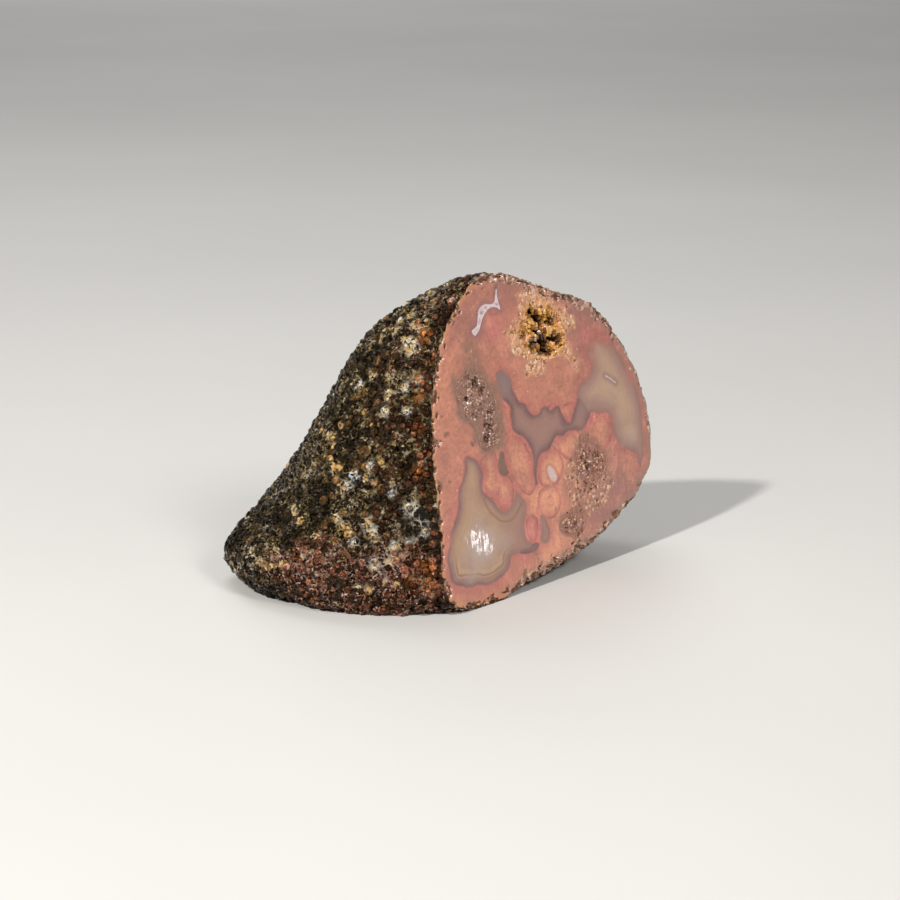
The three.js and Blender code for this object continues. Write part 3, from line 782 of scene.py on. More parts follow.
def make_stone():
    """The stone, its bare skin for the beads, and its face for the cut crystals."""
    skin, skin_faces, edge = skin_surface()
    rim = on_face(skin[edge])
    mouths = [mouth_of(hollow) for hollow in HOLLOWS.values()]
    loops = [rim, *mouths]
    flat, triangles = patch(loops, face_points(rim, mouths))
    values = face_values(flat, np.maximum(0, depth_inside(flat, rim)))
    depth = face_depth(flat, values)
    depth[:sum(len(loop) for loop in loops)] = 0
    face = in_stone(flat[:, 0], flat[:, 1], depth)

    # The rim's points are the skin's; the others of the face follow, the mouths' first.
    face_end = len(skin) + len(flat) - len(rim)
    points = [skin, face[len(rim):]]
    faces = [skin_faces, np.concatenate([edge, np.arange(len(skin), face_end)])[triangles]]
    count, first = face_end, len(skin)
    for loop, hollow in zip(mouths, HOLLOWS.values()):
        rings, floor = wells(loop, hollow["centre"], hollow["depth"])
        ring = np.arange(first, first + len(loop))
        first += len(loop)
        for level in rings:
            points.append(in_stone(*level.T))
            deeper = np.arange(count, count + len(level))
            faces.append(band(deeper, ring))
            ring = deeper
            count += len(level)
        points.append(in_stone(*floor)[None])
        faces.append(fan(count, ring))
        count += 1
    points = np.vstack(points)
    kept = {"cut": np.zeros(len(points))}
    for key, value in values.items():
        whole = np.full(len(points), VALUE_AWAY.get(key, 0.0))
        whole[edge] = value[:len(rim)]
        whole[len(skin):face_end] = value[len(rim):]
        kept[key] = whole
    kept["cut"][len(skin):] = 1
    kept["cut"][edge] = 1
    kept.update(patch_values(points))
    stone = mesh_object("agate_stone", kept_in(points), np.vstack(faces), kept)
    rind = mesh_object("rind_base", kept_in(skin), skin_faces, {})
    pitted = triangles[(values["pit"][triangles] > CHIPPED).any(1)]
    pits = mesh_object("face_pits", face, pitted, {"pit": values["pit"]})
    return stone, rind, pits


# ---------------- node trees


class Tree:
    """Short ways to add nodes to a tree. Each gives the new node's output, or all its outputs."""

    def __init__(self, tree):
        self.tree = tree

    def add(self, kind, output, inputs, **settings):
        made = self.tree.nodes.new(kind)
        for name, value in settings.items():
            setattr(made, name, value)
        for name, value in inputs.items():
            socket = made.inputs[name]
            if isinstance(value, bpy.types.NodeSocket):
                self.tree.links.new(value, socket)
            elif isinstance(value, tuple) and socket.type == "RGBA":
                socket.default_value = (*value, 1.0)
            else:
                socket.default_value = value
        return made.outputs if output is None else made.outputs[output]

    def math(self, operation, a, b=0.0):
        return self.add("ShaderNodeMath", 0, {0: a, 1: b}, operation=operation)

    def times(self, a, b):
        return self.math("MULTIPLY", a, b)

    def plus(self, a, b):
        return self.math("ADD", a, b)

    def larger(self, a, b):
        return self.math("MAXIMUM", a, b)

    def rest(self, share):
        return self.math("SUBTRACT", 1.0, share)

    def step(self, value, low, high):
        """What step_up does, as a node."""
        return self.add("ShaderNodeMapRange", 0, {0: value, 1: low, 2: high, 3: 0.0, 4: 1.0},
                        interpolation_type="SMOOTHSTEP")

    def spread(self, value, low, high):
        """A value from 0 to 1, carried to the range from low to high."""
        return self.add("ShaderNodeMapRange", 0, {0: value, 1: 0.0, 2: 1.0, 3: low, 4: high},
                        clamp=False)

    def ragged(self, value, noise, low, high):
        """A value and a noise, spread from low to high, so that the value's edges wander."""
        return self.plus(value, self.spread(noise, low, high))

    def mix(self, share, a, b, **settings):
        return self.add("ShaderNodeMix", 2, {0: share, 6: a, 7: b}, data_type="RGBA", **settings)

    def over(self, color, other, where, amount):
        """A colour with another one over it where a value says, and by the amount at most."""
        return self.mix(self.times(where, amount), color, other)

    def shaded(self, color, shade):
        """A colour times a value."""
        grey = self.add("ShaderNodeCombineColor", 0, {0: shade, 1: shade, 2: shade})
        return self.mix(1.0, color, grey, blend_type="MULTIPLY")

    def mix_value(self, share, a, b):
        return self.add("ShaderNodeMix", 0, {0: share, 2: a, 3: b}, data_type="FLOAT")

    def ramp(self, value, stops):
        """A colour that runs through the stops (place, colour)."""
        made = self.tree.nodes.new("ShaderNodeValToRGB")
        self.tree.links.new(value, made.inputs[0])
        bar = made.color_ramp.elements
        while len(bar) < len(stops):
            bar.new(1.0)
        for element, (place, color) in zip(bar, stops):
            element.position = place
            element.color = (*color, 1.0)
        return made.outputs[0]

    def noise(self, place, per_mm, detail=2.0, roughness=0.5, output=0):
        return self.add("ShaderNodeTexNoise", output, {
            "Vector": place, "Scale": per_mm, "Detail": detail, "Roughness": roughness})

    def cells(self, place, per_mm, output, feature="F1"):
        return self.add("ShaderNodeTexVoronoi", output, {"Vector": place, "Scale": per_mm},
                        feature=feature)

    def value_of(self, name):
        return self.add("ShaderNodeAttribute", 2, {}, attribute_name=name)

    def part(self, place, way):
        """One of the numbers of a place: 0 for u, 1 for v."""
        return self.add("ShaderNodeSeparateXYZ", way, {0: place})

    def group(self, tree, inputs):
        return self.add("ShaderNodeGroup", None, inputs, node_tree=tree)

    def grain(self, place, per_mm):
        """The tone and the fine tone of the cloudy grain."""
        return self.group(GRAIN, {"Place": place, "Per mm": per_mm})

    def vector(self, operation, a, b):
        return self.add("ShaderNodeVectorMath", 0, {0: a, 1: b}, operation=operation)


def add_socket(tree, label, kind, way="INPUT"):
    return tree.interface.new_socket(label, in_out=way, socket_type="NodeSocket" + kind)


def shader_group(name, inputs, outputs, build):
    """A node group whose inside build() draws, from its inputs' sockets."""
    tree = bpy.data.node_groups.new(name, "ShaderNodeTree")
    for label, (kind, value) in inputs.items():
        socket = add_socket(tree, label, kind)
        if value is not None:
            socket.default_value = value
    for label, kind in outputs.items():
        add_socket(tree, label, kind, "OUTPUT")
    start = tree.nodes.new("NodeGroupInput")
    end = tree.nodes.new("NodeGroupOutput")
    for label, socket in build(Tree(tree), start.outputs).items():
        tree.links.new(socket, end.inputs[label])
    return tree


def build_place(t, _):
    """The place in the stone: u, v and depth in millimetres."""
    where = t.add("ShaderNodeTexCoord", "Object", {})
    local = t.add("ShaderNodeVectorMath", 0, {
        0: where, 1: (1 / MM,) * 3, 2: tuple(-FACE_CORNER)}, operation="MULTIPLY_ADD")
    sin, cos = math.sin(FACE_LEAN), math.cos(FACE_LEAN)
    u, v, depth = (
        t.add("ShaderNodeVectorMath", 1, {0: local, 1: way}, operation="DOT_PRODUCT")
        for way in ((1, 0, 0), (0, sin, cos), (0, cos, -sin)))
    place = t.add("ShaderNodeCombineXYZ", 0, {0: u, 1: v, 2: depth})
    return {"Place": place, "Depth": depth}


def build_grain(t, given):
    """The cloudy grain of chalcedony: soft blotches, and fine specks on them."""
    blotch = t.noise(given["Place"], given["Per mm"], 3.0, 0.6)
    per_fine = t.times(given["Per mm"], 6.0)
    fine = t.noise(given["Place"], per_fine, 3.0, 0.7)
    tone = t.plus(t.times(blotch, 0.6), t.times(fine, 0.4))
    return {"Tone": tone, "Fine": fine}


def build_crystals(t, given):
    """A patchwork of small crystals: a tone for each, and the lines between them."""
    bent = t.noise(given["Place"], 1.4, 2.0, 0.5, 1)
    place = t.add("ShaderNodeVectorMath", 0, {0: bent, 1: (0.7, 0.7, 0.7), 2: given["Place"]},
                  operation="MULTIPLY_ADD")
    own = t.add("ShaderNodeSeparateColor", None, {0: t.cells(place, given["Per mm"], 1)})
    edge = t.cells(place, given["Per mm"], 0, "DISTANCE_TO_EDGE")
    return {"Tone": own[0], "Hue": own[1], "Line": t.step(edge, 0.10, 0.0)}


def build_ground(t, given):
    """The ground that a hollow's lining and the stone round its mouth share: blotched."""
    blotch = t.noise(given["Place"], 0.9, 4.0, 0.65)
    grain = t.noise(given["Place"], 3.2, 3.0, 0.65)
    shade = t.times(t.spread(blotch, 0.62, 1.36), t.spread(grain, 0.70, 1.30))
    return {"Color": t.shaded(given["Color"], shade)}


PLACE = shader_group("place_in_stone", {}, {"Place": "Vector", "Depth": "Float"}, build_place)
GRAIN = shader_group(
    "chalcedony_grain", {"Place": ("Vector", None), "Per mm": ("Float", 0.5)},
    {"Tone": "Float", "Fine": "Float"}, build_grain)
CRYSTALS = shader_group(
    "cut_crystals", {"Place": ("Vector", None), "Per mm": ("Float", 1.3)},
    {"Tone": "Float", "Hue": "Float", "Line": "Float"}, build_crystals)
GROUND = shader_group(
    "lining_ground", {"Place": ("Vector", None), "Color": ("Color", (0.4, 0.2, 0.15, 1.0))},
    {"Color": "Color"}, build_ground)


def new_material(name):
    """An empty material, with a tree and its Principled shader."""
    material = bpy.data.materials.new(name)
    material.use_nodes = True
    tree = material.node_tree
    shader = tree.nodes["Principled BSDF"]
    return material, Tree(tree), shader


def join(t, shader, name, socket):
    t.tree.links.new(socket, shader.inputs[name])


def bumped(t, shader, height, strength=1.0):
    """The shader's surface, raised by a height in millimetres."""
    join(t, shader, "Normal", t.add("ShaderNodeBump", 0, {
        "Strength": strength, "Distance": MM, "Height": height}))


def lining_ground(t, place, color):
    return t.group(GROUND, {"Place": place, "Color": color})[0]


# ---------------- colours (linear)

SALMON = (0.515, 0.214, 0.148)
ORANGE = (0.710, 0.320, 0.200)
ROSE = (0.470, 0.160, 0.132)
PINK = (0.620, 0.205, 0.190)
DROP_SKIN = (0.500, 0.150, 0.132)
MAUVE = (0.355, 0.162, 0.136)
SEAM = (0.265, 0.092, 0.076)
OLIVE = (0.300, 0.180, 0.110)
BROWN = (0.220, 0.110, 0.062)
WHITE = (0.780, 0.680, 0.700)
VEIN_GREY = (0.480, 0.360, 0.390)
PALE_OVAL = (0.690, 0.550, 0.545)
LAVENDER = (0.285, 0.150, 0.160)
PALE_SPECK = (0.780, 0.500, 0.380)
LEFT_RIM = (0.560, 0.265, 0.130)
FAR_RIM = (0.330, 0.190, 0.150)

LOW_BANDS = [
    (0.00, (0.215, 0.108, 0.104)), (0.05, (0.255, 0.140, 0.128)), (0.14, (0.370, 0.218, 0.162)),
    (0.26, (0.440, 0.275, 0.175)), (0.45, (0.445, 0.290, 0.195)), (0.80, (0.430, 0.300, 0.240))]
MIDDLE_BANDS = [
    (0.00, (0.165, 0.088, 0.088)), (0.06, (0.230, 0.128, 0.120)), (0.16, (0.310, 0.172, 0.148)),
    (0.30, (0.350, 0.192, 0.158)), (0.60, (0.370, 0.208, 0.170))]
RIGHT_BANDS = [
    (0.00, (0.280, 0.150, 0.132)), (0.08, (0.325, 0.188, 0.160)), (0.24, (0.390, 0.240, 0.192)),
    (0.42, (0.465, 0.300, 0.218)), (0.60, (0.490, 0.318, 0.220)), (0.85, (0.475, 0.330, 0.255))]
BAND_LINE = dict(at=1.9, color=(0.285, 0.175, 0.105))     # a brown line low in the low pool
OUTER_LINE = dict(at=1.15, color=(0.280, 0.165, 0.125))
BAND_LIGHT = dict(at=2.6, color=(0.500, 0.335, 0.225))
POOL_SPAN = 7.5             # the bands run this far in from a pool's edge
COOL_GREY = (0.430, 0.335, 0.305)
FINGER_GREY = (0.270, 0.185, 0.176)
WEDGE = (0.190, 0.110, 0.078)
POOL_MAUVE = (0.340, 0.185, 0.155)
DARK_ARC = (0.230, 0.130, 0.078)
# Painted shade in the small pits of the face.
PIT_SHADE_BROWN = (0.110, 0.058, 0.036)
PIT_SHADE_GOLD = (0.300, 0.130, 0.040)
ROUGH_GROUND = (0.290, 0.165, 0.128)
GOLDEN_GROUND = (0.720, 0.385, 0.225)
CHIP_COLORS = [(0.00, (0.040, 0.018, 0.010)), (0.40, (0.130, 0.050, 0.018)),
               (0.75, (0.300, 0.130, 0.050)), (1.00, (0.560, 0.380, 0.280))]
DENT_BROWN = (0.170, 0.090, 0.055)

GREY_CRYSTALS = [
    (0.00, (0.060, 0.028, 0.016)), (0.18, (0.190, 0.100, 0.070)), (0.40, (0.310, 0.175, 0.135)),
    (0.66, (0.390, 0.225, 0.175)), (0.86, (0.470, 0.310, 0.225)), (1.00, (0.700, 0.560, 0.480))]
RIM_CRYSTALS = [
    (0.00, (0.170, 0.088, 0.062)), (0.25, (0.350, 0.190, 0.142)), (0.55, (0.520, 0.300, 0.220)),
    (0.80, (0.560, 0.360, 0.265)), (1.00, (0.740, 0.590, 0.500))]
GOLD_CRYSTALS = [
    (0.00, (0.120, 0.042, 0.008)), (0.24, (0.380, 0.155, 0.022)), (0.50, (0.620, 0.300, 0.050)),
    (0.72, (0.720, 0.400, 0.110)), (0.90, (0.760, 0.450, 0.220)), (1.00, (0.860, 0.680, 0.440))]
FRINGE_CRYSTALS = [
    (0.00, (0.300, 0.120, 0.050)), (0.18, (0.600, 0.290, 0.140)), (0.46, (0.740, 0.400, 0.235)),
    (0.80, (0.820, 0.520, 0.330)), (1.00, (0.900, 0.740, 0.580))]
COOL_CRYSTAL = (0.420, 0.330, 0.380)
ROSE_CRYSTALS = [
    (0.00, (0.090, 0.045, 0.032)), (0.16, (0.230, 0.120, 0.090)), (0.42, (0.360, 0.175, 0.130)),
    (0.66, (0.430, 0.215, 0.155)), (0.82, (0.580, 0.350, 0.190)), (1.00, (0.780, 0.620, 0.520))]

# The rind: the skin between the beads, the patches on it, and the beads.
PALE_HUES = [(0.34, (0.320, 0.370, 0.400)), (0.46, (0.540, 0.520, 0.490)),
             (0.56, (0.620, 0.530, 0.370)), (0.70, (0.480, 0.350, 0.165))]
AMBER = (0.260, 0.085, 0.016)
AMBER_BEADS = [
    (0.00, (0.020, 0.005, 0.002)), (0.35, (0.080, 0.022, 0.006)), (0.65, (0.150, 0.042, 0.010)),
    (0.88, (0.230, 0.078, 0.020)), (1.00, (0.380, 0.160, 0.055))]
EDGE_BEADS = [
    (0.00, (0.008, 0.002, 0.001)), (0.34, (0.030, 0.008, 0.004)), (0.58, (0.090, 0.025, 0.011)),
    (0.82, (0.160, 0.052, 0.024)), (0.95, (0.210, 0.085, 0.052)), (1.00, (0.340, 0.185, 0.135))]
BLACK_BEAD = (0.008, 0.007, 0.006)
UPPER_LINES = [(0.36, (0.140, 0.096, 0.034)), (0.52, (0.380, 0.285, 0.125)),
               (0.66, (0.620, 0.560, 0.450))]
LOWER_LINES = [(0.36, (0.280, 0.115, 0.055)), (0.50, (0.420, 0.225, 0.165)),
               (0.66, (0.600, 0.460, 0.420))]
FAR_WEB = (0.300, 0.170, 0.135)
WEB_DARK = [(0.35, (0.004, 0.003, 0.002)), (0.70, (0.036, 0.022, 0.010))]
WORN_GOLD = [(0.30, (0.150, 0.078, 0.022)), (0.52, (0.400, 0.245, 0.090)),
             (0.70, (0.660, 0.490, 0.260))]
WORN_HOLE = (0.050, 0.030, 0.013)
UPPER_BEADS = [
    (0.00, (0.003, 0.002, 0.001)), (0.38, (0.006, 0.004, 0.002)), (0.58, (0.019, 0.011, 0.004)),
    (0.72, (0.054, 0.031, 0.010)), (0.86, (0.118, 0.056, 0.016)), (0.94, (0.150, 0.036, 0.014)),
    (1.00, (0.240, 0.150, 0.055))]
LOWER_BEADS = [
    (0.00, (0.007, 0.002, 0.001)), (0.32, (0.022, 0.007, 0.004)), (0.54, (0.060, 0.019, 0.011)),
    (0.76, (0.130, 0.044, 0.028)), (0.92, (0.210, 0.088, 0.066)), (1.00, (0.310, 0.170, 0.140))]
# Flecks on the beads: partly pale mineral specks, partly painted glints.
UPPER_FLECKS_AND_GLINTS = [(0.30, (0.280, 0.220, 0.090)), (0.50, (0.400, 0.300, 0.140)),
                (0.70, (0.420, 0.360, 0.300))]
LOWER_FLECKS_AND_GLINTS = [(0.30, (0.400, 0.180, 0.070)), (0.50, (0.420, 0.230, 0.150)),
                (0.70, (0.460, 0.330, 0.300))]
CLEAR_BEADS = [(0.0, (0.160, 0.092, 0.070)), (0.5, (0.310, 0.185, 0.145)),
               (1.0, (0.500, 0.360, 0.320))]

QUARTZ_IOR = 1.54
BEAD_IOR = 1.52
BEAD_BUMP = 0.7
BEAD_SHINE, BEAD_SHINE_COLOR = 0.13, (1.0, 0.70, 0.44)      # low and warm, so the dark stays dark
WEB_SHINE, WEB_SHINE_COLOR = 0.15, (1.0, 0.80, 0.60)

# ---------------- the polished face's finish


def jasper_color(t, place, pool, ripple, tone, fine, wide):
    """Pink and orange jasper, with a rosier skin where it meets a pool."""
    mauve = t.ragged(t.value_of("mauve"), wide, -0.5, 0.5)
    color = t.mix(t.step(mauve, 0.0, 1.1), SALMON, MAUVE)
    warm = t.ragged(t.value_of("warm"), tone, -0.7, 0.6)
    color = t.mix(t.step(warm, 0.1, 1.0), color, ORANGE)
    color = t.over(color, ROSE, t.step(pool, -2.4, -0.2), 0.75)
    pink = t.ragged(t.value_of("pink"), tone, -0.25, 0.25)
    color = t.over(color, PINK, t.step(pink, 0.15, 0.95), 0.8)
    tube = t.plus(t.value_of("tube"), ripple)
    color = t.over(color, ORANGE, t.step(tube, 1.1, 2.2), 0.4)
    skin = t.times(t.step(tube, 1.1, 0.1), t.step(tube, -0.25, 0.1))
    color = t.over(color, DROP_SKIN, skin, 0.80)
    seam = t.step(t.plus(t.value_of("seam"), t.times(ripple, 0.6)), 0.26, 0.02)
    broken = t.step(t.noise(place, 0.35), 0.40, 0.62)
    color = t.over(color, SEAM, t.times(seam, broken), 0.95)
    spot = t.plus(t.value_of("spot"), t.times(ripple, 1.6))
    ring = t.times(t.step(spot, 0.50, 0.85), t.step(spot, 1.30, 0.95))
    dot = t.step(spot, 0.40, 0.10)
    color = t.mix(t.times(t.larger(ring, dot), t.spread(fine, 0.0, 0.5)), color, SEAM)
    olive = t.ragged(t.value_of("olive"), tone, -0.4, 0.4)
    color = t.over(color, OLIVE, t.step(olive, 0.1, 0.8), 0.55)
    color = t.over(color, MAUVE, t.step(tone, 0.42, 0.68), 0.30)
    thread = t.vector("MULTIPLY", place, (1.5, 0.40, 1.0))
    fibre = t.noise(thread, 1.0, 3.0, 0.6)
    color = t.over(color, ORANGE, t.step(fibre, 0.52, 0.70), 0.22)
    color = t.over(color, ROSE, t.step(fibre, 0.46, 0.30), 0.22)
    mottle = t.noise(place, 1.1, 4.0, 0.65)
    color = t.over(color, MAUVE, t.step(mottle, 0.54, 0.66), 0.35)
    cloudy = t.noise(place, 0.28, 3.0, 0.6)
    color = t.over(color, ORANGE, t.step(cloudy, 0.52, 0.66), 0.22)
    color = t.over(color, MAUVE, t.step(cloudy, 0.46, 0.34), 0.35)
    shade = t.times(t.spread(fine, 0.72, 1.28), t.spread(mottle, 1.20, 0.80))
    shade = t.times(shade, t.spread(cloudy, 0.78, 1.26))
    return t.shaded(color, shade)


def pool_color(t, place, pool, tone, fine, wide, ripple):
    """Grey chalcedony in soft bands: each kind of pool has its own run of them."""
    inwards = t.times(t.ragged(pool, wide, -0.9, 0.7), 1 / POOL_SPAN)
    middle = t.ramp(inwards, MIDDLE_BANDS)
    low = t.ramp(inwards, LOW_BANDS)
    v = t.part(place, 1)
    u = t.part(place, 0)
    lined = t.step(t.ragged(v, tone, -3.0, 3.0), 9.5, 5.5)
    for line, width, amount in ((BAND_LINE, 0.30, 1.0), (BAND_LIGHT, 0.5, 0.7),
                                (OUTER_LINE, 0.24, 0.7)):
        away = t.math("ABSOLUTE", t.plus(pool, -line["at"]))
        share = t.times(t.times(t.step(away, width, 0.0), lined), amount)
        low = t.mix(share, low, line["color"])
    mauve = t.step(t.ragged(u, tone, -2.5, 2.5), 15.5, 22.5)
    low = t.over(low, POOL_MAUVE, mauve, 0.7)
    finger = t.ragged(t.value_of("finger"), tone, -0.3, 0.3)
    middle = t.over(middle, FINGER_GREY, t.step(finger, 0.1, 0.9), 0.85)
    color = t.mix(t.value_of("pool_low"), middle, low)
    color = t.mix(t.value_of("pool_right"), color, t.ramp(inwards, RIGHT_BANDS))
    color = t.mix(t.value_of("pool_wedge"), color, WEDGE)
    cool = t.ragged(t.value_of("cool"), tone, -0.3, 0.3)
    color = t.over(color, COOL_GREY, t.step(cool, 0.1, 0.9), 0.8)
    shade = t.spread(t.math("SINE", t.times(t.plus(pool, t.times(wide, 2.0)), 6.0)), 0.985, 1.0)
    color = t.shaded(color, t.times(shade, t.spread(fine, 0.90, 1.10)))
    arc = t.step(t.plus(t.value_of("arc"), t.times(ripple, 0.8)), 0.50, 0.05)
    color = t.over(color, DARK_ARC, arc, 0.6)
    swirl = t.noise(place, 0.24, 3.0, 0.6)
    return t.over(color, POOL_MAUVE, t.step(swirl, 0.45, 0.70), 0.35)


def polished_agate():
    """The sawn face: jasper, pools, white veins, specks, a browner edge, and cut crystals."""
    material, t, shader = new_material("polished_agate")
    place, _ = t.group(PLACE, {})
    tone, fine = t.grain(place, 0.45)
    wide = t.noise(place, 0.11, 3.0, 0.55)
    ripple = t.plus(t.times(t.noise(place, 2.2, 3.0, 0.6), 0.30), -0.15)
    pool = t.plus(t.value_of("pool"), ripple)
    jasper = jasper_color(t, place, pool, ripple, tone, fine, wide)
    banded = pool_color(t, place, pool, tone, fine, wide, ripple)
    in_pool = t.step(pool, -0.30, 0.30)
    faded = t.times(t.value_of("fade"), t.step(pool, 4.0, 0.0))
    in_pool = t.times(in_pool, t.step(t.ragged(faded, tone, -0.3, 0.3), 0.9, 0.1))
    color = t.mix(in_pool, jasper, banded)

    # Broken white veins with a grey halo; the thin pale line in the right pool among them is a painted
    # glint.
    white = t.plus(t.value_of("white"), t.times(ripple, 0.7))
    color = t.over(color, LAVENDER, t.step(white, -1.3, 0.0), 0.65)
    streaky = t.noise(place, 1.3, 3.0, 0.65)
    veined = t.times(t.step(white, -0.14, 0.12), t.step(streaky, 0.24, 0.42))
    vein = t.mix(t.times(t.step(white, 0.0, 0.50), t.step(streaky, 0.62, 0.38)), WHITE, VEIN_GREY)
    color = t.over(color, vein, veined, 0.9)

    # The pale oval, softer than the veins.
    oval = t.plus(t.value_of("oval"), ripple)
    color = t.over(color, SEAM, t.step(oval, -0.9, 0.0), 0.4)
    color = t.mix(t.times(t.step(oval, -0.15, 0.45), t.spread(streaky, 0.3, 1.1)), color, PALE_OVAL)

    # Small dark specks and pale flecks.
    speck = t.cells(place, 0.62, 0)
    chance = t.add("ShaderNodeSeparateColor", 0, {0: t.cells(place, 0.62, 1)})
    outside = t.rest(in_pool)
    dark = t.times(t.step(speck, 0.20, 0.08), t.step(chance, 0.74, 0.80))
    pale = t.times(t.step(speck, 0.17, 0.06), t.step(chance, 0.16, 0.10))
    color = t.over(color, BROWN, t.times(dark, outside), 0.45)
    color = t.over(color, PALE_SPECK, t.times(pale, outside), 0.6)

    # The edge of the cut is browner: orange at the left, and grey-brown along the top and right.
    u = t.part(place, 0)
    far = t.step(t.ragged(u, tone, -3.0, 3.0), 16.0, 22.0)
    rim = t.ragged(t.value_of("rim"), tone, -0.9, 0.9)
    rim_share = t.times(t.step(rim, t.spread(far, 1.3, 2.4), 0.2), t.spread(fine, 0.45, 1.1))
    color = t.mix(rim_share, color, t.mix(far, LEFT_RIM, FAR_RIM))

    # Where the cut runs through crystals.
    crystal, hue, line = t.group(CRYSTALS, {"Place": place, "Per mm": 1.8})
    gold_share = t.step(t.ragged(t.value_of("gold"), hue, -0.35, 0.35), 0.30, 0.60)
    cut = t.mix(gold_share, t.ramp(crystal, GREY_CRYSTALS), t.ramp(crystal, FRINGE_CRYSTALS))
    cut = t.over(cut, BROWN, line, 0.35)
    ground = t.value_of("rough")
    chance = t.ragged(ground, hue, -0.45, 0.35)
    rough = t.step(t.ragged(chance, tone, -0.3, 0.3), 0.35, 0.70)
    ground_color = t.mix(t.value_of("gold"), ROUGH_GROUND, GOLDEN_GROUND)
    color = t.over(color, ground_color, ground, 0.60)
    color = t.over(color, cut, rough, 0.70)
    for kind, lining in LININGS.items():
        color = t.mix(t.value_of(kind), color, lining_ground(t, place, lining["color"]))
    knobs = t.step(t.ragged(t.value_of("knobbly"), hue, -0.4, 0.3), 0.35, 0.65)
    color = t.over(color, t.ramp(crystal, RIM_CRYSTALS), knobs, 0.75)
    # Painted shade: the small pits are darkened to dark brown, and to dark gold where the crystals are
    # golden.
    pit = t.value_of("pit")
    pit_shade = t.mix(gold_share, PIT_SHADE_BROWN, PIT_SHADE_GOLD)
    color = t.over(color, pit_shade, t.step(pit, 0.25, 0.90), 0.65)
    color = t.over(color, DENT_BROWN, t.value_of("dent"), 0.7)
    bite = t.step(t.ragged(t.value_of("chip"), fine, -0.3, 0.3), 0.25, 0.70)
    bitten = t.ramp(t.ragged(crystal, fine, -0.3, 0.3), CHIP_COLORS)
    color = t.over(color, bitten, bite, 0.9)
    join(t, shader, "Base Color", color)

    gloss = t.plus(t.mix_value(in_pool, t.spread(fine, 0.13, 0.20), 0.07), t.times(rough, 0.20))
    join(t, shader, "Roughness", gloss)
    uneven = t.larger(rough, t.times(knobs, 0.6))
    height = t.plus(t.times(fine, 0.003), t.times(t.times(uneven, crystal), 0.08))
    bumped(t, shader, height)
    shader.inputs["IOR"].default_value = QUARTZ_IOR
    return material


# ---------------- the rind's finish


def pale_patches(t, place):
    """How far the rind is in a pale patch: the named ones, and others all over it."""
    others = t.step(t.noise(place, 0.30, 3.0, 0.7), 0.56, 0.66)
    return t.larger(t.value_of("pale"), t.times(others, 0.75))


def pale_color(t, place):
    """White and blue-grey chalcedony, creamier higher up the stone."""
    v = t.part(place, 1)
    hue = t.plus(t.noise(place, 0.6), t.spread(t.step(v, 32.0, 50.0), 0.0, 0.14))
    shade = t.spread(t.noise(place, 2.6, 2.0, 0.6), 0.35, 1.65)
    return t.shaded(t.ramp(hue, PALE_HUES), shade)


def rind_drift(t, place):
    """Where the rind is lively; elsewhere it is nearly black."""
    return t.spread(t.step(t.noise(place, 0.16, 4.0, 0.65), 0.44, 0.58), 0.12, 1.0)


def line_color(t, place, low):
    """The broken lines between the beads: olive and cream, and mauve lower down."""
    hue = t.noise(place, 0.8, 2.0, 0.6)
    return t.mix(low, t.ramp(hue, UPPER_LINES), t.ramp(hue, LOWER_LINES))


def far_by_cut(t, place, depth, wide):
    """The strip of rind beside the top and right edges of the cut."""
    u = t.part(place, 0)
    near_cut = t.ragged(depth, wide, -1.5, 1.5)
    return t.times(t.step(near_cut, 2.4, 1.0), t.step(u, 16.0, 22.0))


def rind_web():
    """The skin between the beads: dark, with patches of white, cream and blue-grey chalcedony."""
    material, t, shader = new_material("rind_web")
    place, depth = t.group(PLACE, {})
    _, fine = t.grain(place, 1.2)
    wide = t.noise(place, 0.14, 3.0, 0.6)
    v = t.part(place, 1)
    low = t.step(t.ragged(v, wide, -8.0, 8.0), 19.0, 10.0)
    color = t.ramp(fine, WEB_DARK)
    lines = t.times(rind_drift(t, place), t.step(t.noise(place, 0.7, 2.0, 0.6), 0.42, 0.56))
    color = t.mix(t.times(lines, t.step(fine, 0.40, 0.58)), color, line_color(t, place, low))
    lumps = t.noise(place, 1.7, 2.0, 0.6)
    broken = t.times(pale_patches(t, place), t.step(lumps, 0.38, 0.50))
    color = t.mix(broken, color, pale_color(t, place))
    color = t.mix(t.times(t.value_of("amber"), t.step(fine, 0.3, 0.6)), color, AMBER)
    color = t.mix(far_by_cut(t, place, depth, wide), color, FAR_WEB)
    join(t, shader, "Base Color", color)
    join(t, shader, "Roughness", t.spread(fine, 0.20, 0.50))
    shader.inputs["Specular IOR Level"].default_value = WEB_SHINE
    shader.inputs["Specular Tint"].default_value = (*WEB_SHINE_COLOR, 1.0)
    bumped(t, shader, t.times(fine, 0.25))
    return material


